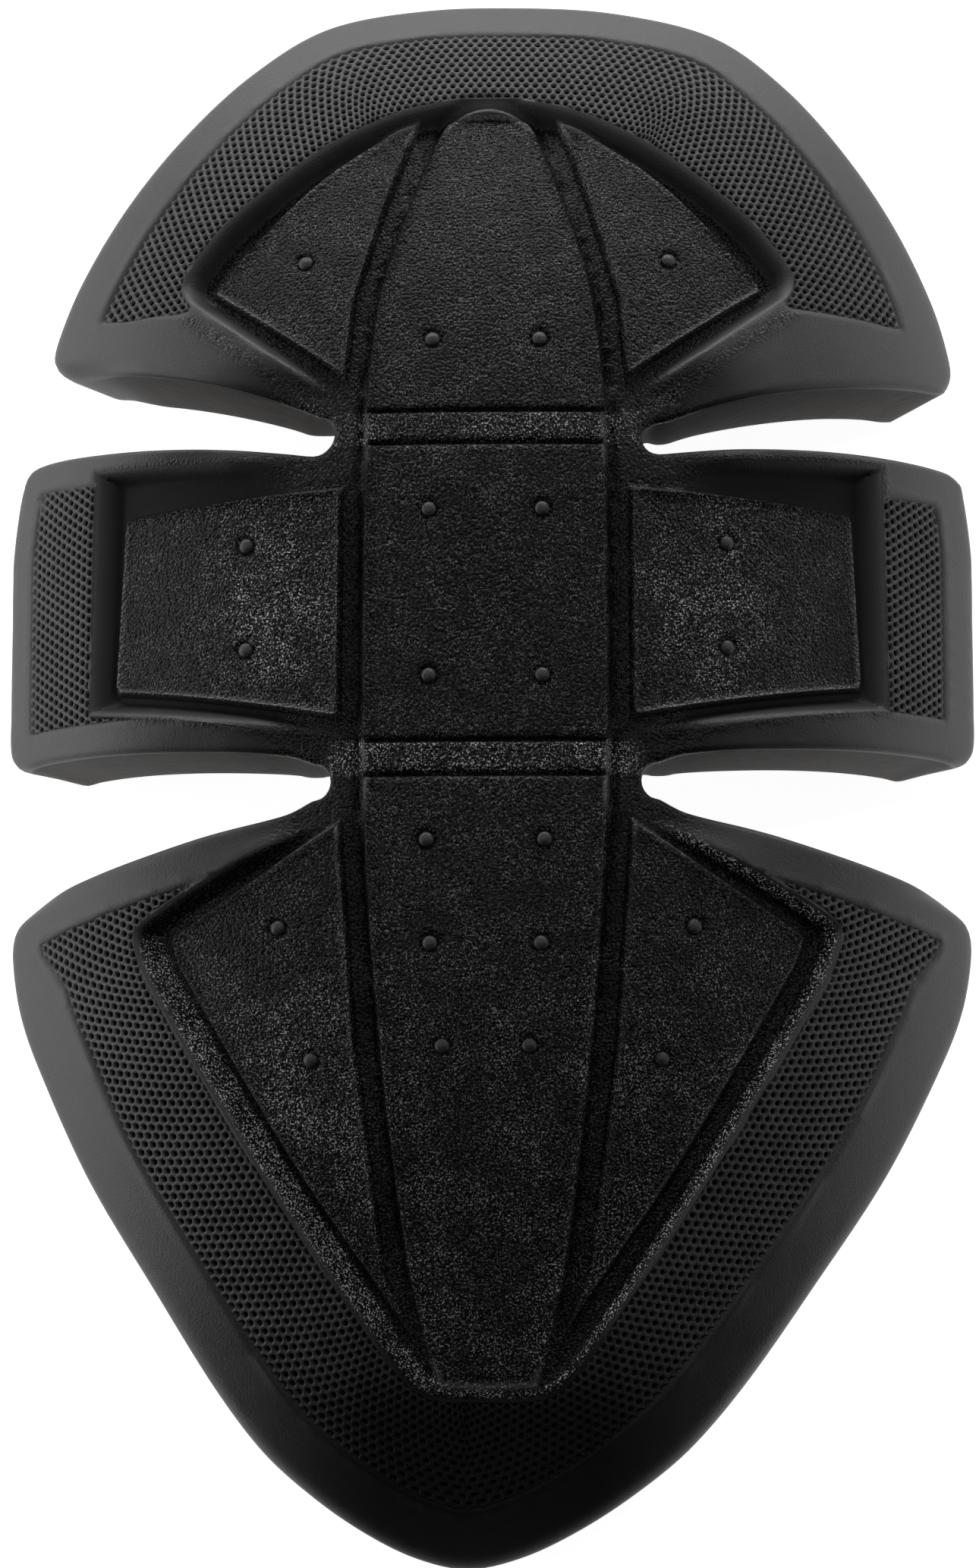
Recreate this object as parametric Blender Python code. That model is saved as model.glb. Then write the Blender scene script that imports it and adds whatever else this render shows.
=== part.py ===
"""Moulded foam knee protector, one piece, lying on its rim with the outer face up.

Metres, +Z up, origin on the floor under the middle of the pad, +Y toward the crown.
The pad is laid out flat in plan, lifted on to a domed base surface, and every relief is a
depth measured along that surface's normal.
"""

import math

import bmesh
import bpy
import numpy as np
from mathutils.geometry import delaunay_2d_cdt

MM = 0.001

# Overall form
PAD_WIDTH = 165.0 * MM
PAD_LENGTH = 270.0 * MM
DOME_HEIGHT = 45.5 * MM
FOAM_THICKNESS = 13.0 * MM
WING_DROP = 40.5 * MM
CROWN_DROP = 37.6 * MM
TIP_DROP = 37.4 * MM
DOME_CURVE = 87.0 * MM
DOME_TOP_Y = 37.0 * MM
DOME_FOOT_Y = -23.0 * MM
ACROSS_POWER = 2.6
ALONG_POWER = 2.0

# Flex slots and the column between them
COLUMN_WIDTH = 52.0 * MM
UPPER_SLOT_Y = 50.3 * MM
LOWER_SLOT_Y = -7.8 * MM
SLOT_END_RADIUS = 3.1 * MM
SLOT_WALL_DRAFT = math.radians(8.0)

# Trimming of the outline, a little off the moulded pattern
UPPER_TRIM_SHIFT = 0.8 * MM
UPPER_TRIM_LEAN = math.radians(3.2)
UPPER_TRIM_TURN = math.radians(1.2)
TIP_TRIM_SWAY = 3.9 * MM

# Relief, as depths along the surface normal and widths in plan
RIM_ROUND = 4.5 * MM
SLOT_EDGE_ROUND = 1.2 * MM
UPPER_MARGIN = 7.0 * MM
WING_MARGIN = 5.0 * MM
LOWER_MARGIN = 10.5 * MM
BAND_SINK = 0.4 * MM
BAND_LIP = 0.9 * MM
RECESS_DEPTH = 3.4 * MM
RECESS_WALL = 3.4 * MM
PLATE_RISE = 1.0 * MM
PLATE_EDGE = 0.8 * MM
COLUMN_GROOVE = 3.4 * MM
CREASE_DEPTH = 0.9 * MM
CREASE_WIDTH = 1.3 * MM
UPPER_STRIP_Y = 51.3 * MM
LOWER_STRIP_Y = -4.3 * MM
STRIP_WIDTH = 5.6 * MM

# Studs, a dome in a shallow round moat
STUD_RADIUS = 1.5 * MM
STUD_RISE = 0.9 * MM
MOAT_RADIUS = 2.3 * MM
MOAT_DEPTH = 0.4 * MM
STUD_SIDES = 8
STUD_RING = 0.6

# Mesh density
OUTLINE_STEP = 3.2 * MM
FEATURE_STEP = 3.6 * MM
FILL_STEP = 7.0 * MM
INNER_FILL_STEP = 9.0 * MM
FILL_CLEARANCE = 0.45
SPLINE_STEPS = 8
EDGE_ROUND_STEPS = (0.22, 0.85)
MERGE = 1e-6
PLAN_MERGE = 1e-4 * MM
SLOPE_LIMIT = 0.05
FAR = 10.0

# Black closed-cell foam with a moulded skin
FOAM_COLOUR = (0.018, 0.018, 0.020, 1.0)
FOAM_ROUGHNESS = 0.5
SMOOTH_ANGLE = math.radians(35)

HALF_WIDTH = PAD_WIDTH / 2
CROWN_Y = PAD_LENGTH / 2
TIP_Y = -PAD_LENGTH / 2
COLUMN_HALF = COLUMN_WIDTH / 2
UPPER_BASE_Y = UPPER_SLOT_Y + SLOT_END_RADIUS
WING_TOP_Y = UPPER_SLOT_Y - SLOT_END_RADIUS
WING_BASE_Y = LOWER_SLOT_Y + SLOT_END_RADIUS
LOWER_BASE_Y = LOWER_SLOT_Y - SLOT_END_RADIUS

# Each table row is (across, along). In the two lobes across is a share of half the width and
# along a share of the way from the slot to the crown or the tip. In the wings across is a share
# of the way from the column to the wing's end and along a share of the wing's height.
UPPER_OUTLINE = (
    # across, along
    (0.000, 1.000),
    (0.199, 0.991),
    (0.410, 0.945),
    (0.565, 0.830),
    (0.700, 0.680),
    (0.812, 0.520),
    (0.897, 0.355),
    (0.936, 0.235),
    (0.938, 0.185),
    (0.910, 0.152),
    (0.850, 0.138),
    (0.712, 0.106),
    (0.552, 0.065),
    (0.430, 0.030),
)
WING_OUTLINE = (
    # across, along
    (0.126, 1.008),
    (0.297, 1.023),
    (0.679, 1.056),
    (0.874, 1.071),
    (0.948, 1.058),
    (0.973, 0.987),
    (0.998, 0.784),
    (1.000, 0.572),
    (1.000, 0.245),
    (0.992, 0.140),
    (0.955, 0.092),
    (0.860, 0.088),
    (0.641, 0.072),
    (0.355, 0.048),
    (0.126, 0.025),
)
LOWER_OUTLINE = (
    # across, along
    (0.405, 0.017),
    (0.534, 0.039),
    (0.656, 0.058),
    (0.800, 0.080),
    (0.923, 0.102),
    (0.975, 0.123),
    (0.989, 0.160),
    (0.972, 0.240),
    (0.930, 0.320),
    (0.816, 0.480),
    (0.668, 0.636),
    (0.540, 0.762),
    (0.432, 0.848),
    (0.318, 0.910),
    (0.210, 0.955),
    (0.106, 0.986),
    (0.000, 1.000),
)

# Top of the wall that steps down from the mesh bands to the plates, half of it
UPPER_RECESS = (
    # across, along
    (0.000, 0.756),
    (0.147, 0.730),
    (0.282, 0.663),
    (0.405, 0.570),
    (0.534, 0.441),
    (0.607, 0.340),
    (0.617, 0.303),
    (0.595, 0.259),
    (0.337, 0.045),
    (0.297, 0.000),
)
WING_RECESS = (
    # across, along
    (-0.032, 1.000),
    (0.018, 0.969),
    (0.699, 1.011),
    (0.710, 0.210),
    (0.018, 0.067),
    (-0.032, 0.000),
)
LOWER_RECESS = (
    # across, along
    (0.297, 0.000),
    (0.672, 0.145),
    (0.702, 0.169),
    (0.665, 0.240),
    (0.415, 0.518),
    (0.178, 0.742),
    (0.110, 0.775),
    (0.000, 0.779),
)

# Plates, half of the centre column and the three on the +X side
UPPER_COLUMN = (
    # across, along
    (0.000, 0.724),
    (0.093, 0.704),
    (0.178, 0.422),
    (0.221, 0.259),
    (0.245, 0.010),
)
LOWER_COLUMN = (
    # across, along
    (0.249, 0.000),
    (0.211, 0.355),
    (0.162, 0.607),
    (0.120, 0.721),
    (0.098, 0.766),
    (0.000, 0.768),
)
UPPER_SIDE_EDGE = (
    # across, along
    (0.137, 0.681),
    (0.206, 0.651),
    (0.346, 0.548),
    (0.476, 0.414),
    (0.574, 0.293),
    (0.290, 0.074),
)
WING_PLATE_END = (
    # across, along
    (0.636, 0.848),
    (0.664, 0.270),
)
WING_PLATE_TOP = 0.886
WING_PLATE_BASE = 0.129
UPPER_GROOVE_SHARES = (0.0, 0.3, 0.65)
LOWER_GROOVE_SHARES = (0.15, 0.55, 1.0)
LOWER_SIDE_EDGE = (
    # across, along
    (0.280, 0.024),
    (0.648, 0.174),
    (0.621, 0.222),
    (0.371, 0.500),
    (0.134, 0.719),
)

# Studs of the +X side; the other half mirrors them
UPPER_STUDS = (
    # across, along
    (0.372, 0.349),
    (0.108, 0.165),
)
COLUMN_STUDS = (
    # across, along, in the wings' frame
    (-0.295, 0.803),
    (-0.295, 0.268),
)
WING_STUDS = (
    # across, along
    (0.252, 0.707),
    (0.252, 0.370),
)
LOWER_STUDS = (
    # across, along
    (0.117, 0.057),
    (0.110, 0.195),
    (0.086, 0.330),
    (0.417, 0.170),
    (0.350, 0.346),
)

# How the wall down to the plates fades toward the tip, as shares of the lower lobe's height
FADE_START = 0.560
FADE_END = 0.790
FADE_LEFT = 0.25

# Where the crisp, drafted slot walls give way to the rounded outer rim: a share of the way from
# slot to slot, the part of it that blends, and the blend across as a share of half the width
SLOT_REACH = 0.30
SLOT_FADE_ALONG = 0.22
SLOT_FADE_ACROSS = 0.07


def upper(across, along):
    """Plan point of the upper lobe."""
    return (across * HALF_WIDTH, UPPER_BASE_Y + along * (CROWN_Y - UPPER_BASE_Y))


def wing(across, along):
    """Plan point of a wing or of the column beside it."""
    return (
        COLUMN_HALF + across * (HALF_WIDTH - COLUMN_HALF),
        WING_BASE_Y + along * (WING_TOP_Y - WING_BASE_Y),
    )


def lower(across, along):
    """Plan point of the lower lobe."""
    return (across * HALF_WIDTH, LOWER_BASE_Y + along * (TIP_Y - LOWER_BASE_Y))


def rows(place, table):
    return [place(*row) for row in table]


def slot_end(centre_y):
    """Round inner end of a slot, from its upper edge to its lower one."""
    turns = [math.pi / 2 + k * math.pi / 6 for k in range(7)]
    return [
        (
            COLUMN_HALF + SLOT_END_RADIUS * (1 + math.cos(turn)),
            centre_y + SLOT_END_RADIUS * math.sin(turn),
        )
        for turn in turns
    ]


def mirrored(half):
    """Closed loop from a half that starts and ends on the Y axis."""
    return half + [(-x, y) for x, y in reversed(half[1:-1])]


def flipped(loop):
    return [(-x, y) for x, y in reversed(loop)]


def smooth_loop(knots, step):
    """Closed curve through the knots, sampled about one step apart."""
    points = []
    count = len(knots)
    for k in range(count):
        p0, p1, p2, p3 = (np.array(knots[(k + j - 1) % count]) for j in range(4))
        m1 = (p2 - p0) / 2
        m2 = (p3 - p1) / 2
        limit = np.linalg.norm(p2 - p1)
        m1 *= min(1.0, limit / max(np.linalg.norm(m1), MERGE))
        m2 *= min(1.0, limit / max(np.linalg.norm(m2), MERGE))
        parts = min(SPLINE_STEPS, max(1, math.ceil(limit / step)))
        for part in range(parts):
            t = part / parts
            points.append(
                (2 * t**3 - 3 * t**2 + 1) * p1
                + (t**3 - 2 * t**2 + t) * m1
                + (3 * t**2 - 2 * t**3) * p2
                + (t**3 - t**2) * m2
            )
    return np.array(points)


def straight_loop(corners, step):
    """Closed run of straight sides, each cut into parts about one step long."""
    points = []
    for k, start in enumerate(corners):
        start = np.array(start)
        end = np.array(corners[(k + 1) % len(corners)])
        parts = max(1, round(float(np.linalg.norm(end - start)) / step))
        points += [start + (end - start) * part / parts for part in range(parts)]
    return np.array(points)


def trimmed(points):
    """The outline as it was cut: the upper lobe leaning, the tip swaying the other way."""
    cut = points.copy()
    x = points[:, 0]
    y = points[:, 1]
    rise = np.clip((y - UPPER_SLOT_Y) / SLOT_END_RADIUS, -1, 1) * 0.5 + 0.5
    above = np.maximum(y - UPPER_SLOT_Y, 0)
    cut[:, 0] += rise * UPPER_TRIM_SHIFT + above * math.tan(UPPER_TRIM_LEAN)
    cut[:, 1] -= rise * x * math.tan(UPPER_TRIM_TURN)
    below = np.clip((LOWER_SLOT_Y - y) / (LOWER_SLOT_Y - TIP_Y), 0, 1)
    cut[:, 0] -= TIP_TRIM_SWAY * below**3
    return cut


def outline():
    half = (
        rows(upper, UPPER_OUTLINE)
        + slot_end(UPPER_SLOT_Y)
        + rows(wing, WING_OUTLINE)
        + slot_end(LOWER_SLOT_Y)
        + rows(lower, LOWER_OUTLINE)
    )
    return trimmed(smooth_loop(mirrored(half), OUTLINE_STEP))


def recess():
    half = rows(upper, UPPER_RECESS) + rows(wing, WING_RECESS) + rows(lower, LOWER_RECESS)
    return straight_loop(mirrored(half), FEATURE_STEP)


def column_half():
    """The centre column's edge from the crown's arch to the tip."""
    return rows(upper, UPPER_COLUMN) + rows(lower, LOWER_COLUMN)


def column_edge_x(y):
    """Half width of the centre column at a height."""
    half = column_half()[1:-1]
    heights = [point[1] for point in reversed(half)]
    widths = [point[0] for point in reversed(half)]
    return float(np.interp(y, heights, widths))


def beside_column(heights):
    """Points along the groove's outer side."""
    return [(column_edge_x(y) + COLUMN_GROOVE, y) for y in heights]


def side_plates():
    """The three plates of the +X side, as loops of corners."""
    top = rows(upper, UPPER_SIDE_EDGE)
    inner_y = [top[-1][1] + share * (top[0][1] - top[-1][1]) for share in UPPER_GROOVE_SHARES]
    upper_plate = top[:-1] + beside_column(inner_y)
    wing_y = [wing(0, share)[1] for share in (WING_PLATE_BASE, WING_PLATE_TOP)]
    wing_plate = rows(wing, WING_PLATE_END) + beside_column(wing_y)
    low = rows(lower, LOWER_SIDE_EDGE)
    groove_y = [low[-1][1] + share * (low[0][1] - low[-1][1]) for share in LOWER_GROOVE_SHARES]
    lower_plate = low[1:] + beside_column(groove_y)
    return [upper_plate, wing_plate, lower_plate]


def plates():
    sides = side_plates()
    loops = [mirrored(column_half())] + sides + [flipped(side) for side in sides]
    return [straight_loop(loop, FEATURE_STEP) for loop in loops]


def stud_centres():
    half = (
        rows(upper, UPPER_STUDS)
        + rows(wing, COLUMN_STUDS)
        + rows(wing, WING_STUDS)
        + rows(lower, LOWER_STUDS)
    )
    return half + [(-x, y) for x, y in half]


def crease_heights():
    """Heights of the creases that bound the two strips across the column."""
    return [
        centre + side * STRIP_WIDTH / 2
        for centre in (UPPER_STRIP_Y, LOWER_STRIP_Y)
        for side in (-1, 1)
    ]


def wall_share(distance, width):
    """Smooth step from 0 to 1 over a width."""
    t = np.clip(distance / width, 0, 1)
    return t * t * (3 - 2 * t)


def inside_distance(points, loop):
    """Distance of each point to a loop, positive inside it."""
    nearest = np.full(len(points), FAR)
    inside = np.zeros(len(points), bool)
    for start, end in zip(loop, np.roll(loop, -1, axis=0)):
        side = end - start
        reach = np.clip(((points - start) @ side) / max(side @ side, MERGE**2), 0, 1)
        nearest = np.minimum(nearest, np.linalg.norm(points - start - reach[:, None] * side, axis=1))
        crosses = (start[1] > points[:, 1]) != (end[1] > points[:, 1])
        if side[1] != 0:
            at_x = start[0] + (points[:, 1] - start[1]) * side[0] / side[1]
            inside ^= crosses & (points[:, 0] < at_x)
    return np.where(inside, nearest, -nearest)


def dome_reach(drop, power):
    """The share of the dome's own half size at which it has dropped this far."""
    return (1 - (1 - drop / DOME_CURVE) ** 2) ** (1 / power)


def base_surface(points):
    """Height of the base surface over plan points, and its slopes."""
    across = HALF_WIDTH / dome_reach(WING_DROP, ACROSS_POWER)
    up = (CROWN_Y - DOME_TOP_Y) / dome_reach(CROWN_DROP, ALONG_POWER)
    down = (DOME_FOOT_Y - TIP_Y) / dome_reach(TIP_DROP, ALONG_POWER)
    x = points[:, 0]
    y = points[:, 1]
    past = np.maximum(y - DOME_TOP_Y, 0) / up - np.maximum(DOME_FOOT_Y - y, 0) / down
    half = np.where(past > 0, up, down)
    x_part = np.abs(x / across) ** ACROSS_POWER
    y_part = np.abs(past) ** ALONG_POWER
    left = np.sqrt(np.maximum(1 - x_part - y_part, SLOPE_LIMIT))
    height = DOME_HEIGHT - DOME_CURVE * (1 - left)
    slope_x = ACROSS_POWER * np.abs(x / across) ** (ACROSS_POWER - 1) * np.sign(x) / across
    slope_y = ALONG_POWER * np.abs(past) ** (ALONG_POWER - 1) * np.sign(past) / half
    scale = -DOME_CURVE / (2 * left)
    return height, scale * slope_x, scale * slope_y


def lifted(points, depth):
    """Points at a depth under the base surface, measured along its normal."""
    height, slope_x, slope_y = base_surface(points)
    normal = np.stack([-slope_x, -slope_y, np.ones(len(points))], axis=1)
    normal /= np.linalg.norm(normal, axis=1)[:, None]
    return np.column_stack([points, height]) - normal * depth[:, None]


def slot_share(points):
    """1 beside the slots, falling to 0 on the outer rim."""
    x = np.abs(points[:, 0])
    y = points[:, 1]
    reach = SLOT_REACH * (UPPER_SLOT_Y - LOWER_SLOT_Y)
    to_slot = np.minimum(np.abs(y - UPPER_SLOT_Y), np.abs(y - LOWER_SLOT_Y))
    near = wall_share(reach - to_slot, reach * SLOT_FADE_ALONG)
    return near * wall_share(HALF_WIDTH - x, HALF_WIDTH * SLOT_FADE_ACROSS)


def edge_round(points):
    """Radius of the rounded edge: wide on the outer rim, small along the slots."""
    return RIM_ROUND + (SLOT_EDGE_ROUND - RIM_ROUND) * slot_share(points)


def inward(loop):
    """Unit directions into a loop that runs clockwise, one for each point."""
    along = np.roll(loop, -1, axis=0) - np.roll(loop, 1, axis=0)
    along /= np.maximum(np.linalg.norm(along, axis=1), MERGE)[:, None]
    return np.column_stack([along[:, 1], -along[:, 0]])


def clockwise(loop):
    after = np.roll(loop, -1, axis=0)
    area = np.sum(loop[:, 0] * after[:, 1] - after[:, 0] * loop[:, 1])
    return loop[::-1] if area > 0 else loop


def inset_loop(loop, distance):
    """The loop moved inward, by one distance or by one for each point."""
    loop = clockwise(loop)
    return loop + inward(loop) * np.reshape(distance, (-1, 1))


def margin_width(points):
    """Width of the smooth rim outside the mesh bands."""
    y = points[:, 1]
    upper_part = wall_share(y - WING_TOP_Y, SLOT_END_RADIUS)
    lower_part = wall_share(LOWER_BASE_Y - y, SLOT_END_RADIUS)
    return (
        WING_MARGIN
        + (UPPER_MARGIN - WING_MARGIN) * upper_part
        + (LOWER_MARGIN - WING_MARGIN) * lower_part
    )


def recess_fade(points):
    """How much of the recess depth is left, less toward the tip."""
    start = lower(0, FADE_START)[1]
    end = lower(0, FADE_END)[1]
    return 1 - (1 - FADE_LEFT) * wall_share(start - points[:, 1], start - end)


def relief_depth(points, rim, recess_wall, plate_loops):
    """Depth under the base surface at each plan point."""
    edge = np.maximum(inside_distance(points, rim), 0)
    round_radius = edge_round(points)
    slopes = base_surface(points)[1:]
    steep = np.hypot(*slopes)
    outer = wall_share(round_radius - SLOT_EDGE_ROUND, RIM_ROUND - SLOT_EDGE_ROUND)
    along_surface = edge * np.sqrt(1 + (steep * outer) ** 2)
    rest = np.clip(1 - along_surface / round_radius, 0, 1)
    depth = round_radius * (1 - np.sqrt(1 - rest**2))

    in_recess = inside_distance(points, recess_wall)
    fade = recess_fade(points)
    step = wall_share(in_recess, RECESS_WALL)
    band = wall_share(edge - margin_width(points), BAND_LIP)
    depth += BAND_SINK * band * (1 - step) + RECESS_DEPTH * fade * step
    for loop in plate_loops:
        in_plate = inside_distance(points, loop)
        depth -= PLATE_RISE * fade * wall_share(in_plate, PLATE_EDGE)

    in_column = np.abs(points[:, 0]) <= np.array([column_edge_x(y) for y in points[:, 1]]) + MERGE
    for height in crease_heights():
        off = np.abs(points[:, 1] - height) / (CREASE_WIDTH / 2)
        depth += CREASE_DEPTH * in_column * np.clip(1 - off, 0, 1)
    for centre in stud_centres():
        out = np.linalg.norm(points - np.array(centre), axis=1)
        dome = np.sqrt(np.clip(1 - (out / STUD_RADIUS) ** 2, 0, 1))
        moat = np.clip(1 - np.abs(out - STUD_RADIUS) / (MOAT_RADIUS - STUD_RADIUS), 0, 1)
        depth += MOAT_DEPTH * moat - STUD_RISE * dome
    return depth


def circle(centre, radius, sides):
    turns = [2 * math.pi * k / sides for k in range(sides)]
    return np.array([
        (centre[0] + radius * math.cos(turn), centre[1] + radius * math.sin(turn))
        for turn in turns
    ])


def crease_lines():
    """Open lines across the column: both sides and the bottom of each crease."""
    lines = []
    for height in crease_heights():
        for side in (-1, 0, 1):
            y = height + side * CREASE_WIDTH / 2
            reach = column_edge_x(y) - PLATE_EDGE
            parts = max(2, round(2 * reach / FEATURE_STEP))
            lines.append(np.array([(reach * (2 * k / parts - 1), y) for k in range(parts + 1)]))
    return lines


def filler(rim, taken, step):
    """Points of a triangular grid inside the rim and clear of the feature lines."""
    low = rim.min(axis=0)
    high = rim.max(axis=0)
    row_step = step * math.sqrt(3) / 2
    grid = [
        (low[0] + (column + 0.5 * (row % 2)) * step, low[1] + row * row_step)
        for row in range(int((high[1] - low[1]) / row_step) + 1)
        for column in range(int((high[0] - low[0]) / step) + 1)
    ]
    grid = np.array(grid)
    grid = grid[inside_distance(grid, rim) > FILL_CLEARANCE * step]
    gaps = np.linalg.norm(grid[:, None, :] - taken[None, :, :], axis=2).min(axis=1)
    return grid[gaps > FILL_CLEARANCE * step]


def triangulated(loops, lines, loose):
    """Plan mesh inside the first loop, with every loop and line as edges."""
    coords = []
    edges = []
    for loop in loops:
        first = len(coords)
        coords += [tuple(point) for point in loop]
        edges += [(first + k, first + (k + 1) % len(loop)) for k in range(len(loop))]
    for line in lines:
        first = len(coords)
        coords += [tuple(point) for point in line]
        edges += [(first + k, first + k + 1) for k in range(len(line) - 1)]
    coords += [tuple(point) for point in loose]
    scaled = [(x / MM, y / MM) for x, y in coords]
    made = delaunay_2d_cdt(scaled, edges, [], 1, PLAN_MERGE / MM)
    points = np.array([(vertex[0] * MM, vertex[1] * MM) for vertex in made[0]])
    return points, [tuple(face) for face in made[2]]


def boundary_loop(faces):
    """Vertices of the open border in order, as the faces run past it."""
    ahead = {}
    used = set()
    for face in faces:
        for start, end in zip(face, face[1:] + face[:1]):
            used.add((start, end))
    for start, end in used:
        if (end, start) not in used:
            ahead[start] = end
    loop = [next(iter(sorted(ahead)))]
    while ahead[loop[-1]] != loop[0]:
        loop.append(ahead[loop[-1]])
    return loop


def pad_mesh():
    """Outer face with its relief, inner face, and the wall that joins their borders."""
    rim = outline()
    recess_wall = recess()
    plate_loops = plates()
    radius = edge_round(clockwise(rim))
    loops = [rim, recess_wall, inset_loop(recess_wall, RECESS_WALL)]
    loops += [inset_loop(rim, radius * share) for share in EDGE_ROUND_STEPS]
    for loop in plate_loops:
        loops += [loop, inset_loop(loop, PLATE_EDGE)]
    for centre in stud_centres():
        loops += [circle(centre, r, STUD_SIDES) for r in (MOAT_RADIUS, STUD_RADIUS)]
        loops.append(circle(centre, STUD_RADIUS * STUD_RING, STUD_SIDES))
    lines = crease_lines()
    taken = np.vstack(loops + lines)
    loose = np.vstack([filler(rim, taken, FILL_STEP), np.array(stud_centres())])
    points, faces = triangulated(loops, lines, loose)
    outer = lifted(points, relief_depth(points, rim, recess_wall, plate_loops))

    border = boundary_loop(faces)
    foot_points = drafted(points[border])
    fill = filler(foot_points, foot_points, INNER_FILL_STEP)
    inner_points, inner_faces = triangulated([foot_points], [], fill)
    inner = lifted(inner_points, np.full(len(inner_points), FOAM_THICKNESS))

    mesh = bmesh.new()
    top = [mesh.verts.new(position) for position in outer]
    under = [mesh.verts.new(position) for position in inner]
    for face in faces:
        mesh.faces.new([top[k] for k in face])
    for face in inner_faces:
        mesh.faces.new([under[k] for k in reversed(face)])
    below = [under[k] for k in nearest_of(foot_points, inner_points)]
    for k, vertex in enumerate(border):
        after = (k + 1) % len(border)
        mesh.faces.new([top[border[after]], top[vertex], below[k], below[after]])
    bmesh.ops.triangulate(mesh, faces=mesh.faces)
    flatten_feet(mesh)
    bmesh.ops.recalc_face_normals(mesh, faces=mesh.faces)
    return mesh


def drafted(border):
    """The knee side's border: the slot walls lean out into the slots, less round their ends."""
    along = np.roll(border, -1, axis=0) - np.roll(border, 1, axis=0)
    along /= np.linalg.norm(along, axis=1)[:, None]
    outward = np.column_stack([along[:, 1], -along[:, 0]])
    past_end = wall_share(np.abs(border[:, 0]) - COLUMN_HALF, 2 * SLOT_END_RADIUS)
    lean = FOAM_THICKNESS * math.tan(SLOT_WALL_DRAFT) * slot_share(border) * past_end
    return border + outward * lean[:, None]


def flatten_feet(mesh):
    """Cuts the rim level where the pad stands on the floor."""
    everything = mesh.verts[:] + mesh.edges[:] + mesh.faces[:]
    cut = bmesh.ops.bisect_plane(
        mesh, geom=everything, dist=MERGE, plane_co=(0, 0, 0), plane_no=(0, 0, 1), clear_inner=True
    )
    edges = [part for part in cut["geom_cut"] if isinstance(part, bmesh.types.BMEdge)]
    feet = bmesh.ops.holes_fill(mesh, edges=edges, sides=0)["faces"]
    bmesh.ops.triangulate(mesh, faces=feet)


def nearest_of(wanted, points):
    """For each wanted point, the index of the point that lies on it."""
    return [int(np.argmin(np.linalg.norm(points - point, axis=1))) for point in wanted]


def foam_material():
    material = bpy.data.materials.new("moulded_foam")
    material.use_nodes = True
    shader = material.node_tree.nodes["Principled BSDF"]
    shader.inputs["Base Color"].default_value = FOAM_COLOUR
    shader.inputs["Roughness"].default_value = FOAM_ROUGHNESS
    shader.inputs["Metallic"].default_value = 0.0
    return material


def clear_scene():
    for thing in list(bpy.data.objects):
        bpy.data.objects.remove(thing, do_unlink=True)


def main():
    clear_scene()
    mesh = bpy.data.meshes.new("knee_pad")
    made = pad_mesh()
    made.to_mesh(mesh)
    made.free()
    mesh.shade_smooth()
    mesh.set_sharp_from_angle(angle=SMOOTH_ANGLE)
    mesh.materials.append(foam_material())
    pad = bpy.data.objects.new("knee_pad", mesh)
    bpy.context.scene.collection.objects.link(pad)


main()
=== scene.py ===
"""Moulded foam knee protector: its finished surface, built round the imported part, and its studio.

Metres, +Z up, +Y toward the crown. The pad is laid out flat in plan, lifted on to a domed base
surface, and each relief is a depth measured along that surface's normal.
"""

import math

import bmesh
import bpy
import numpy as np
from bpy.props import FloatProperty, FloatVectorProperty, PointerProperty
from mathutils import Matrix, Vector
from mathutils.geometry import delaunay_2d_cdt
from mathutils.kdtree import KDTree


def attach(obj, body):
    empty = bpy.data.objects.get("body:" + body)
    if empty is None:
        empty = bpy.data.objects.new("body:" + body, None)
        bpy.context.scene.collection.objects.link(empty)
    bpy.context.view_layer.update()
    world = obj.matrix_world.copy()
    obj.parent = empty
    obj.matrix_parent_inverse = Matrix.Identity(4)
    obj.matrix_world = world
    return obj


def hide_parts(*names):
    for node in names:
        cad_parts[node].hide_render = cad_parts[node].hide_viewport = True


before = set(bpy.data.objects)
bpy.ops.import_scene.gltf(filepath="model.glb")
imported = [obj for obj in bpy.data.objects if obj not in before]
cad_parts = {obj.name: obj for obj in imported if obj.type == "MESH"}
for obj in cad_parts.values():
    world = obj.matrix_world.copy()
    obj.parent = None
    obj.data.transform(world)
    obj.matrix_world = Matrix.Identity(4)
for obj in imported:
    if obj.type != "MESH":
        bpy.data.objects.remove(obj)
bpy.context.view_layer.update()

bl_info = {
    "name": "Knee protector",
    "version": (1, 0, 0),
    "blender": (4, 5, 0),
    "location": "3D View > Sidebar > Knee pad",
    "description": "Builds a moulded foam knee protector and a studio for it",
    "category": "Add Mesh",
}

MM = 0.001
BODY = "root"
PAD_NODE = "knee_pad"

# The moulded pattern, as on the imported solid
HALF_WIDTH = 82.5 * MM
CROWN_Y = 135.0 * MM
TIP_Y = -135.0 * MM
DOME_HEIGHT = 45.5 * MM
WING_DROP = 40.5 * MM
CROWN_DROP = 37.6 * MM
TIP_DROP = 37.4 * MM
DOME_CURVE = 87.0 * MM
DOME_TOP_Y = 37.0 * MM
DOME_FOOT_Y = -23.0 * MM
ACROSS_POWER = 2.6
ALONG_POWER = 2.0
SLOPE_LIMIT = 0.05

COLUMN_HALF = 26.0 * MM
UPPER_SLOT_Y = 50.3 * MM
LOWER_SLOT_Y = -7.8 * MM
SLOT_END_RADIUS = 3.1 * MM
SLOT_WALL_DRAFT = math.radians(8.0)
UPPER_BASE_Y = UPPER_SLOT_Y + SLOT_END_RADIUS
WING_TOP_Y = UPPER_SLOT_Y - SLOT_END_RADIUS
WING_BASE_Y = LOWER_SLOT_Y + SLOT_END_RADIUS
LOWER_BASE_Y = LOWER_SLOT_Y - SLOT_END_RADIUS

UPPER_TRIM_SHIFT = 0.8 * MM
UPPER_TRIM_LEAN = math.radians(3.2)
UPPER_TRIM_TURN = math.radians(1.2)
TIP_TRIM_SWAY = 3.9 * MM

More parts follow.
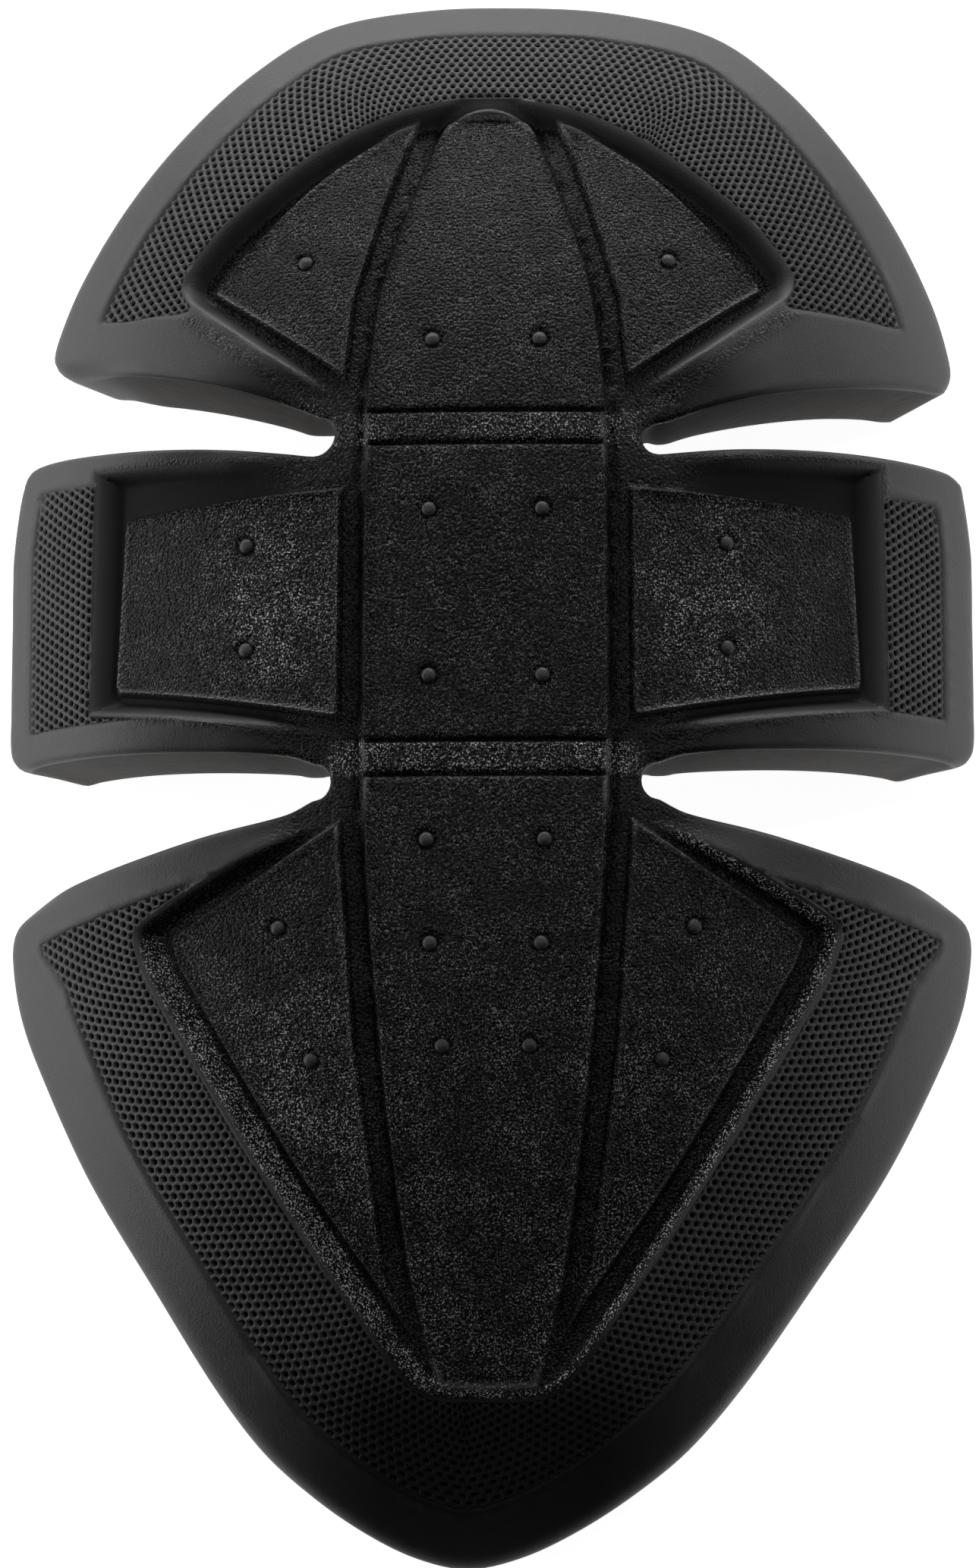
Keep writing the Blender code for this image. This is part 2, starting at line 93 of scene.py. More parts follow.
RIM_ROUND = 4.5 * MM
SLOT_EDGE_ROUND = 1.2 * MM
UPPER_MARGIN = 9.0 * MM
WING_MARGIN = 6.0 * MM
WING_MARGIN_LEAN = 0.7 * MM
LOWER_TOP_MARGIN = 7.0 * MM
LOWER_MARGIN = 10.5 * MM
LOWER_CORNER = 0.16
LOWER_CORNER_BLEND = 9.0 * MM
UPPER_BAND_FOOT = 0.246
UPPER_BAND_MIDDLE = 15.0 * MM
WING_BAND_MIDDLE = 11.5 * MM
LOWER_BAND_MIDDLE = 19.0 * MM
BAND_REACH = 18.0 * MM
STRAND_TOP = 0.03 * MM
EDGE_DIVE = 0.30 * MM
EDGE_OVERLAP = 0.50 * MM
EDGE_SHARE = 0.6
COLUMN_GROOVE = 3.4 * MM
CREASE_WIDTH = 1.3 * MM
UPPER_STRIP_Y = 51.3 * MM
LOWER_STRIP_Y = -4.3 * MM
STRIP_WIDTH = 5.6 * MM
SLOT_REACH = 0.30
SLOT_FADE_ALONG = 0.22
SLOT_FADE_ACROSS = 0.07
SINK_REACH = 8.0 * MM
LOBE_SINK_FADE = 20.0 * MM
WING_SINK_LEFT = 0.35
WING_SINK_FADE = 15.0 * MM
WING_SINK_END = 44.0 * MM
WING_SINK_RUNOUT = 22.0 * MM
LOW_FADE_START = 0.560
LOW_FADE_END = 0.790
LOW_FADE_LEFT = 0.25

# Where the pebbled grain and the dull skin lie, the dull skin painted with shade too; distances run
# from the recess's edge
FLOOR_GRAIN_START = 0.7
FLOOR_GRAIN_FADE = 0.8 * MM
WALL_GRAIN_START = 0.4 * MM
WALL_GRAIN_FADE = 0.6 * MM
LINE_GRAIN = 0.8
LINE_OUT = 0.3 * MM
LINE_HALF = 0.7 * MM
FLANK_STRIP_GRAIN = 0.6
FLANK_STRIP_HALF = 2.2 * MM
FLANK_STRIP_FADE = 1.2 * MM
COLUMN_GRAIN = 0.9
COLUMN_GRAIN_FADE = 8.0 * MM
SINK_DULL_AND_SHADE = 0.9
# How far in from the recess's edge the plates' lip gets its painted highlight line
RIDGE_REACH = 3.5 * MM
RIDGE_FADE = 2.5 * MM

# How many painted glints the pebbles get; a spot is its middle, its two radii and its share
PLAIN_SPARKLE = 0.28
OFF_PLATE_SPARKLE = 0.3
WING_SPOT = (36.0 * MM, (WING_TOP_Y + WING_BASE_Y) / 2, 9.0 * MM, 15.0 * MM, 1.1)
LOW_SPOT = (-30.0 * MM, -62.0 * MM, 9.0 * MM, 16.0 * MM, 0.7)
LOWER_SPARKLE = 0.3
LOWER_SPARKLE_Y = -20.0 * MM
LOWER_SPARKLE_FADE = 40.0 * MM
STRIP_SPARKLES = ((UPPER_STRIP_Y, 0.8), (LOWER_STRIP_Y, 1.2))
FLANK_STRIP_SPARKLE = 0.7
# A streak of painted glints on the lower flanks' recess wall
WALL_SPARKLE = 3.6
WALL_SPARKLE_FADE = 0.6 * MM
RIGHT_WALL_SHARE = 0.45
FLANK_FADE = 6.0 * MM
TOP_WALL_FADE = 12.0 * MM

MERGE = 1e-6
PLAN_MERGE = 1e-7
FAR = 10.0
FILL_CLEARANCE = 0.45
OFFSET_KEEP = 0.985
PLATE_REACH = 4.0 * MM
GUIDE_SMOOTHING = 50
PIT_TAPER = 0.62
STUD_SIDES = 16
STUD_SEGMENTS = 20
STUD_RINGS = 12
RIM_STEPS = (0.12, 0.4, 0.8)
WALL_STEPS = (0.25, 0.5, 0.75, 1.0)
PLATE_STEPS = (0.5, 1.0, 2.0)
MOAT_STEPS = (1.55, 1.25, 1.0)
WALL_RINGS = (
    # share of the way to the knee side, tuck of the lower edge
    (0.03, 0.0),
    (0.25, 0.0),
    (0.50, 0.0),
    (0.75, 0.0),
    (0.91, 0.0),
    (0.97, 0.3),
    (1.00, 1.0),
)
CELL_CORNERS = ((0, -2), (-1, -1), (-1, 1), (0, 2), (1, 1), (1, -1))
SMOOTH_ANGLE = math.radians(50)

# Finish: sizes of its patterns, the range of each that counts, and shares of each effect
SKIN_CLOUD = 9.0 * MM
MESH_CLOUD = 7.0 * MM
CLOUD_RANGE = (0.35, 0.7)
CLOUD_ROUGHNESS = 0.10
FINE_GRAIN = 0.30 * MM
MESH_FINE_GRAIN = 0.28 * MM
FINE_HEIGHT = 0.10 * MM
BRUSH_SIZE = 0.5 * MM
BRUSH_STRETCH = (0.15, 0.15, 1.0)
BRUSH_RANGE = (0.3, 0.7)
BRUSH_HEIGHT = 0.12 * MM
# Painted glints: bright specks in the pebbles' colour, gathered in patches
PAINTED_GLINT_SIZE = 0.30 * MM
PAINTED_GLINT_RANGE = (0.55, 0.66)
PAINTED_GLINT_PATCH = 6.0 * MM
PAINTED_GLINT_PATCH_RANGE = (0.35, 0.65)
PAINTED_GLINT_LEAST = 0.35
GLOSSY_PEBBLE = 0.16
GLOSSY_PEBBLE_RANGE = (0.62, 0.95)
ROUGHNESS_SHIFTS = (
    ("cut", 0.30), ("wall", 0.12), ("ridge", -0.14), ("band", 0.25), ("crease", 0.20),
)
GRAIN_PITCH = 0.55
# Share of painted shade on the dull skin in the recess and beside the slots
RECESS_SHADE_PAINT = 0.4
# Share of the painted highlight on the plates' lip
RIDGE_HIGHLIGHT_PAINT = 0.75
# Share of painted shade in the creases across the column
CREASE_SHADE_PAINT = 0.8
# Least lightening of the strands: cloudy tone and painted highlight
STRAND_LEAST = 0.3
PIT_ROUGHNESS = 0.3
# Near black: the pebbled grain's own darker tone, and painted shade in the recess and the mesh
# dimples
GRAIN_TONE_AND_SHADE_BLACK = (0.001, 0.001, 0.001, 1)
# Painted shade: near black for the creases
CREASE_SHADE_BLACK = (0.002, 0.002, 0.002, 1)
# Painted shade: where the lower tip is painted darker, across and along
TIP_SHADE_X = (16.0 * MM, 42.0 * MM)
TIP_SHADE_Y = (-90.0 * MM, -112.0 * MM)

# Studio
FLOOR_HALF = 3.0
FLOOR_Z = -0.2 * MM
GLOW_EDGE = (-190.0 * MM, -139.0 * MM)
GLOW_FADE = (0.25, 0.9)
CAMERA_CLIP = (0.01, 20.0)
SENSOR = 36.0
CAMERA_TILT = math.radians(11.0)
CAMERA_ROLL = math.radians(1.6)
CAMERA_TARGET = (0.0, 0.0, 10.0 * MM)
CAMERA_DISTANCE = 1.1
CAMERA_SLIDE = (-0.25 * MM, -2.47 * MM)
VIEW_HEIGHT = 262.3 * MM
SOFTBOXES = (
    # name, power, place, width, height
    ("softbox_crown", "crown_power", (0.0, 1.5, 0.20), 2.2, 0.36),
    ("softbox_left", "left_power", (-1.5, 0.15, 0.20), 2.0, 0.36),
    ("softbox_right", "right_power", (1.5, 0.15, 0.20), 2.0, 0.36),
    ("strip_left", "strip_power", (-0.42, 0.30, 1.15), 0.10, 0.30),
    ("strip_right", "strip_power", (0.55, 0.35, 1.05), 0.10, 0.30),
    ("strip_front", "front_power", (-0.15, -0.80, 0.95), 0.20, 0.10),
)

# Each row is (across, along). In the two lobes across is a share of half the width and along a
# share of the way from the slot to the crown or the tip. In the wings across is a share of the way
# from the column to the wing's end and along a share of the wing's height. Lines run smoothly
# through their points, apart from those with a third number, 0, where they turn a corner.
UPPER_OUTLINE = (
    (0.000, 1.000), (0.199, 0.991), (0.410, 0.945), (0.565, 0.830), (0.700, 0.680),
    (0.812, 0.520), (0.897, 0.355), (0.936, 0.235), (0.938, 0.185), (0.910, 0.152),
    (0.850, 0.138), (0.712, 0.106), (0.552, 0.065), (0.430, 0.030),
)
WING_OUTLINE = (
    (0.126, 1.008), (0.297, 1.023), (0.679, 1.056), (0.874, 1.071), (0.948, 1.058),
    (0.973, 0.987), (0.998, 0.784), (1.000, 0.572), (1.000, 0.245), (0.992, 0.140),
    (0.955, 0.092), (0.860, 0.088), (0.641, 0.072), (0.355, 0.048), (0.126, 0.025),
)
LOWER_OUTLINE = (
    (0.405, 0.017), (0.534, 0.039), (0.656, 0.058), (0.800, 0.080), (0.923, 0.102),
    (0.975, 0.123), (0.989, 0.160), (0.972, 0.240), (0.930, 0.320), (0.816, 0.480),
    (0.668, 0.636), (0.540, 0.762), (0.432, 0.848), (0.318, 0.910), (0.210, 0.955),
    (0.106, 0.986), (0.000, 1.000),
)

# Lines that the mesh bands' rows follow where the outline turns away
WING_GUIDE = (
    (0.985, 1.060), (0.998, 0.784), (1.000, 0.572), (1.000, 0.245), (0.998, 0.030),
)
LOWER_GUIDE = (
    (1.010, 0.040),
)

# Top of the wall that steps down from the mesh bands to the plates, half of it
UPPER_RECESS = (
    (0.000, 0.718), (0.147, 0.695), (0.282, 0.635), (0.405, 0.550), (0.534, 0.436),
    (0.607, 0.340), (0.617, 0.303), (0.595, 0.259), (0.337, 0.045), (0.297, 0.000),
)
WING_RECESS = (
    (-0.032, 1.000), (0.018, 0.969), (0.699, 1.011, 0), (0.710, 0.210, 0), (0.018, 0.067),
    (-0.032, 0.000),
)
LOWER_RECESS = (
    (0.297, 0.000), (0.672, 0.145), (0.702, 0.169), (0.665, 0.240), (0.415, 0.518),
    (0.178, 0.742), (0.110, 0.775), (0.000, 0.779),
)

# Plates, half of the centre column and the three on the +X side
UPPER_COLUMN = (
    (0.000, 0.704), (0.060, 0.693), (0.096, 0.664), (0.178, 0.422), (0.221, 0.259),
    (0.245, 0.010),
)
LOWER_COLUMN = (
    (0.249, 0.000), (0.211, 0.355), (0.162, 0.607), (0.120, 0.721), (0.098, 0.766, 0),
    (0.000, 0.768),
)
UPPER_SIDE_EDGE = (
    (0.137, 0.681, 0), (0.206, 0.651), (0.346, 0.548), (0.476, 0.414), (0.574, 0.293, 0),
    (0.290, 0.074, 0),
)
WING_PLATE_END = (
    (0.636, 0.848, 0), (0.664, 0.270, 0),
)
WING_PLATE_TOP = 0.886
WING_PLATE_BASE = 0.129
CROWN_BAND_KNOTS = 9
TIP_BAND_START = 6
UPPER_GROOVE_SHARES = (0.0, 0.3, 0.65)
LOWER_GROOVE_SHARES = (0.15, 0.55, 1.0)
LOWER_SIDE_EDGE = (
    (0.280, 0.024, 0), (0.648, 0.174, 0), (0.621, 0.222), (0.371, 0.500), (0.134, 0.719, 0),
)

# Studs of the +X side; the other half mirrors them. The column's are in the wings' frame
UPPER_STUDS = (
    (0.372, 0.349), (0.108, 0.165),
)
COLUMN_STUDS = (
    (-0.295, 0.803), (-0.295, 0.268),
)
WING_STUDS = (
    (0.252, 0.707), (0.252, 0.370),
)
LOWER_STUDS = (
    (0.117, 0.057), (0.110, 0.195), (0.086, 0.330), (0.417, 0.170), (0.350, 0.346),
)


def upper(across, along):
    """Plan point of the upper lobe."""
    return (across * HALF_WIDTH, UPPER_BASE_Y + along * (CROWN_Y - UPPER_BASE_Y))


def wing(across, along):
    """Plan point of a wing or of the column beside it."""
    return (
        COLUMN_HALF + across * (HALF_WIDTH - COLUMN_HALF),
        WING_BASE_Y + along * (WING_TOP_Y - WING_BASE_Y),
    )


def lower(across, along):
    """Plan point of the lower lobe."""
    return (across * HALF_WIDTH, LOWER_BASE_Y + along * (TIP_Y - LOWER_BASE_Y))


def knots(place, table):
    """Rows of a table as (x, y, bend), with bend 1 where the line runs smoothly on."""
    return [(*place(*row[:2]), *(row[2:] or (1,))) for row in table]


def slot_end(centre_y):
    """Round inner end of a slot, from its upper edge to its lower one."""
    turns = [math.pi / 2 + k * math.pi / 6 for k in range(7)]
    return [
        (
            COLUMN_HALF + SLOT_END_RADIUS * (1 + math.cos(turn)),
            centre_y + SLOT_END_RADIUS * math.sin(turn),
            1,
        )
        for turn in turns
    ]


def mirrored(half):
    """Closed run of knots from a half that starts and ends on the Y axis."""
    return half + [(-x, y, bend) for x, y, bend in reversed(half[1:-1])]


def flipped(run):
    return [(-x, y, bend) for x, y, bend in reversed(run)]


def spline(run, step, closed=True):
    """Curve through knots, smooth where they bend and cornered where they don't."""
    count = len(run)
    places = np.array([(x, y) for x, y, _ in run])
    points = []
    for k in range(count if closed else count - 1):
        before, start, end, after = (k - 1, k, k + 1, k + 2)
        if closed:
            before, start, end, after = (j % count for j in (before, start, end, after))
        else:
            before, after = max(before, 0), min(after, count - 1)
        p1, p2 = places[start], places[end]
        chord = p2 - p1
        length = np.linalg.norm(chord)
        m1 = (p2 - places[before]) / 2 if run[start][2] else chord
        m2 = (places[after] - p1) / 2 if run[end][2] else chord
        m1 = m1 * min(1.0, length / max(np.linalg.norm(m1), MERGE))
        m2 = m2 * min(1.0, length / max(np.linalg.norm(m2), MERGE))
        parts = max(1, math.ceil(length / step))
        for part in range(parts):
            t = part / parts
            points.append(
                (2 * t**3 - 3 * t**2 + 1) * p1
                + (t**3 - 2 * t**2 + t) * m1
                + (3 * t**2 - 2 * t**3) * p2
                + (t**3 - t**2) * m2
            )
    if not closed:
        points.append(places[-1])
    return np.array(points)


def trimmed(points):
    """The outline as it was cut: the upper lobe leaning, the tip swaying the other way."""
    cut = points.copy()
    x, y = points.T
    rise = np.clip((y - UPPER_SLOT_Y) / SLOT_END_RADIUS, -1, 1) * 0.5 + 0.5
    above = np.maximum(y - UPPER_SLOT_Y, 0)
    cut[:, 0] += rise * UPPER_TRIM_SHIFT + above * math.tan(UPPER_TRIM_LEAN)
    cut[:, 1] -= rise * x * math.tan(UPPER_TRIM_TURN)
    below = np.clip((LOWER_SLOT_Y - y) / (LOWER_SLOT_Y - TIP_Y), 0, 1)
    cut[:, 0] -= TIP_TRIM_SWAY * below**3
    return cut


def rim_curve(step):
    half = (
        knots(upper, UPPER_OUTLINE)
        + slot_end(UPPER_SLOT_Y)
        + knots(wing, WING_OUTLINE)
        + slot_end(LOWER_SLOT_Y)
        + knots(lower, LOWER_OUTLINE)
    )
    return trimmed(spline(mirrored(half), step))


def recess_curve(step):
    half = knots(upper, UPPER_RECESS) + knots(wing, WING_RECESS) + knots(lower, LOWER_RECESS)
    return spline(mirrored(half), step)


def column_half():
    """The centre plate's edge from the crown's arch to the tip."""
    return knots(upper, UPPER_COLUMN) + knots(lower, LOWER_COLUMN)


def column_edge_x(y):
    """Half width of the centre plate at a height."""
    half = column_half()[1:-1]
    heights = [point[1] for point in reversed(half)]
    widths = [point[0] for point in reversed(half)]
    return np.interp(y, heights, widths)


def beside_column(heights):
    """Knots along the groove's outer side."""
    return [(float(column_edge_x(y)) + COLUMN_GROOVE, y, 0) for y in heights]


def side_plates():
    """The three plates of the +X side, as runs of knots."""
    top = knots(upper, UPPER_SIDE_EDGE)
    inner_y = [top[-1][1] + share * (top[0][1] - top[-1][1]) for share in UPPER_GROOVE_SHARES]
    upper_plate = top[:-1] + beside_column(inner_y)
    wing_y = [wing(0, share)[1] for share in (WING_PLATE_BASE, WING_PLATE_TOP)]
    wing_plate = knots(wing, WING_PLATE_END) + beside_column(wing_y)
    low = knots(lower, LOWER_SIDE_EDGE)
    groove_y = [low[-1][1] + share * (low[0][1] - low[-1][1]) for share in LOWER_GROOVE_SHARES]
    lower_plate = low[1:] + beside_column(groove_y)
    return [upper_plate, wing_plate, lower_plate]


def plate_curves(step):
    """The centre plate first, then the six others."""
    sides = side_plates()
    runs = [mirrored(column_half())] + sides + [flipped(side) for side in sides]
    return [spline(run, step) for run in runs]


def stud_centres():
    places = (
        [upper(*row) for row in UPPER_STUDS]
        + [wing(*row) for row in COLUMN_STUDS + WING_STUDS]
        + [lower(*row) for row in LOWER_STUDS]
    )
    return np.array(places + [(-x, y) for x, y in places])


def crease_heights():
    """Heights of the creases that bound the two strips across the column."""
    return [
        centre + side * STRIP_WIDTH / 2
        for centre in (UPPER_STRIP_Y, LOWER_STRIP_Y)
        for side in (-1, 1)
    ]


def eased(distance, width):
    """Smooth step from 0 to 1 over a width."""
    t = np.clip(distance / width, 0, 1)
    return t * t * (3 - 2 * t)


def tent(distance, half):
    """1 at no distance, falling evenly to 0 at half a width."""
    return np.clip(1 - np.abs(distance) / half, 0, 1)


def spot(x, y, row):
    """Soft round patch, full at its middle."""
    middle_x, middle_y, reach_x, reach_y, share = row
    return share * np.exp(-(((x - middle_x) / reach_x) ** 2) - ((y - middle_y) / reach_y) ** 2)


def inside_distance(points, loop):
    """Distance of each point to a loop, positive inside it."""
    nearest = np.full(len(points), FAR)
    inside = np.zeros(len(points), bool)
    px, py = points.T
    for start, end in zip(loop, np.roll(loop, -1, axis=0)):
        sx, sy = end - start
        from_x = px - start[0]
        from_y = py - start[1]
        reach = np.clip((from_x * sx + from_y * sy) / max(sx * sx + sy * sy, MERGE**2), 0, 1)
        gap = (from_x - reach * sx) ** 2 + (from_y - reach * sy) ** 2
        np.minimum(nearest, gap, out=nearest)
        if sy != 0:
            crosses = (start[1] > py) != (end[1] > py)
            inside ^= crosses & (px < start[0] + from_y * sx / sy)
    nearest = np.sqrt(nearest)
    return np.where(inside, nearest, -nearest)


def near_distance(points, loop, reach):
    """inside_distance where it matters: a point further out than reach is left at -reach."""
    low = loop.min(axis=0) - reach
    high = loop.max(axis=0) + reach
    close = np.all((points > low) & (points < high), axis=1)
    distance = np.full(len(points), -reach)
    distance[close] = inside_distance(points[close], loop)
    return distance


def dome_reach(drop, power):
    """The share of the dome's own half size at which it has dropped this far."""
    return (1 - (1 - drop / DOME_CURVE) ** 2) ** (1 / power)


def base_surface(points):
    """Height of the base surface over plan points, and its slopes."""
    across = HALF_WIDTH / dome_reach(WING_DROP, ACROSS_POWER)
    up = (CROWN_Y - DOME_TOP_Y) / dome_reach(CROWN_DROP, ALONG_POWER)
    down = (DOME_FOOT_Y - TIP_Y) / dome_reach(TIP_DROP, ALONG_POWER)
    x, y = points.T
    past = np.maximum(y - DOME_TOP_Y, 0) / up - np.maximum(DOME_FOOT_Y - y, 0) / down
    half = np.where(past > 0, up, down)
    x_part = np.abs(x / across) ** ACROSS_POWER
    y_part = np.abs(past) ** ALONG_POWER
    left = np.sqrt(np.maximum(1 - x_part - y_part, SLOPE_LIMIT))
    height = DOME_HEIGHT - DOME_CURVE * (1 - left)
    slope_x = ACROSS_POWER * np.abs(x / across) ** (ACROSS_POWER - 1) * np.sign(x) / across
    slope_y = ALONG_POWER * np.abs(past) ** (ALONG_POWER - 1) * np.sign(past) / half
    scale = -DOME_CURVE / (2 * left)
    return height, scale * slope_x, scale * slope_y


def surface_normals(points):
    _, slope_x, slope_y = base_surface(points)
    normal = np.stack([-slope_x, -slope_y, np.ones(len(points))], axis=1)
    return normal / np.linalg.norm(normal, axis=1)[:, None]


def lifted(points, depth):
    """Points at a depth under the base surface, measured along its normal."""
    height = base_surface(points)[0]
    return np.column_stack([points, height]) - surface_normals(points) * depth[:, None]


def slot_share(points):
    """1 beside the slots, falling to 0 on the outer rim."""
    x = np.abs(points[:, 0])
    y = points[:, 1]
    reach = SLOT_REACH * (UPPER_SLOT_Y - LOWER_SLOT_Y)
    to_slot = np.minimum(np.abs(y - UPPER_SLOT_Y), np.abs(y - LOWER_SLOT_Y))
    near = eased(reach - to_slot, reach * SLOT_FADE_ALONG)
    return near * eased(HALF_WIDTH - x, HALF_WIDTH * SLOT_FADE_ACROSS)


def slot_sink(points):
    """How far the rim beside the slots is down toward the recess: all the way at the column."""
    x = np.abs(points[:, 0])
    y = points[:, 1]
    out = x - COLUMN_HALF - SLOT_END_RADIUS
    on_wing = eased(y - LOWER_SLOT_Y, SLOT_END_RADIUS) * eased(UPPER_SLOT_Y - y, SLOT_END_RADIUS)
    lobe = 1 - eased(out, LOBE_SINK_FADE)
    wing_share = 1 - (1 - WING_SINK_LEFT) * eased(out, WING_SINK_FADE)
    wing_share = wing_share * (1 - eased(x - WING_SINK_END, WING_SINK_RUNOUT))
    to_slot = np.minimum(np.abs(y - UPPER_SLOT_Y), np.abs(y - LOWER_SLOT_Y))
    near = 1 - eased(to_slot - 2 * SLOT_END_RADIUS, SINK_REACH)
    return near * (lobe + (wing_share - lobe) * on_wing)


def edge_round(points):
    """Radius of the rounded edge: wide on the outer rim, small along the slots."""
    return RIM_ROUND + (SLOT_EDGE_ROUND - RIM_ROUND) * slot_share(points)


def clockwise(loop):
    after = np.roll(loop, -1, axis=0)
    area = np.sum(loop[:, 0] * after[:, 1] - after[:, 0] * loop[:, 1])
    return loop[::-1] if area > 0 else loop


def inward(loop):
    """Unit directions into a loop that runs clockwise, one for each point."""
    along = np.roll(loop, -1, axis=0) - np.roll(loop, 1, axis=0)
    along /= np.maximum(np.linalg.norm(along, axis=1), MERGE)[:, None]
    return np.column_stack([along[:, 1], -along[:, 0]])


def inset_loop(loop, distance):
    """The loop moved inward, by one distance or by one for each point."""
    loop = clockwise(loop)
    return loop + inward(loop) * np.reshape(distance, (-1, 1))


def margin_width(points):
    """Width of the smooth rim outside the mesh bands."""
    x, y = points.T
    upper_part = eased(y - WING_TOP_Y, SLOT_END_RADIUS)
    lower_part = eased(LOWER_BASE_Y - y, SLOT_END_RADIUS)
    down_flank = eased(lower(0, LOWER_CORNER)[1] - y, LOWER_CORNER_BLEND)
    wing_margin = WING_MARGIN + WING_MARGIN_LEAN * np.sign(x)
    lower_margin = LOWER_TOP_MARGIN + (LOWER_MARGIN - LOWER_TOP_MARGIN) * down_flank
    return (
        wing_margin
        + (UPPER_MARGIN - wing_margin) * upper_part
        + (lower_margin - wing_margin) * lower_part
    )


def recess_fade(points):
    """How much of the recess depth is left, less toward the tip."""
    start = lower(0, LOW_FADE_START)[1]
    end = lower(0, LOW_FADE_END)[1]
    return 1 - (1 - LOW_FADE_LEFT) * eased(start - points[:, 1], start - end)


def tidy_offset(loop, distance):
    """The loop moved inward by a distance for each point, without the folds at its corners."""
    moved = inset_loop(loop, distance)
    wanted = np.broadcast_to(np.reshape(distance, (-1,)), len(moved))
    return moved[inside_distance(moved, loop) > wanted * OFFSET_KEEP]


def circle(centre, radius, sides):
    turns = np.arange(sides) * (2 * math.pi / sides)
    return np.array(centre) + radius * np.column_stack([np.cos(turns), np.sin(turns)])


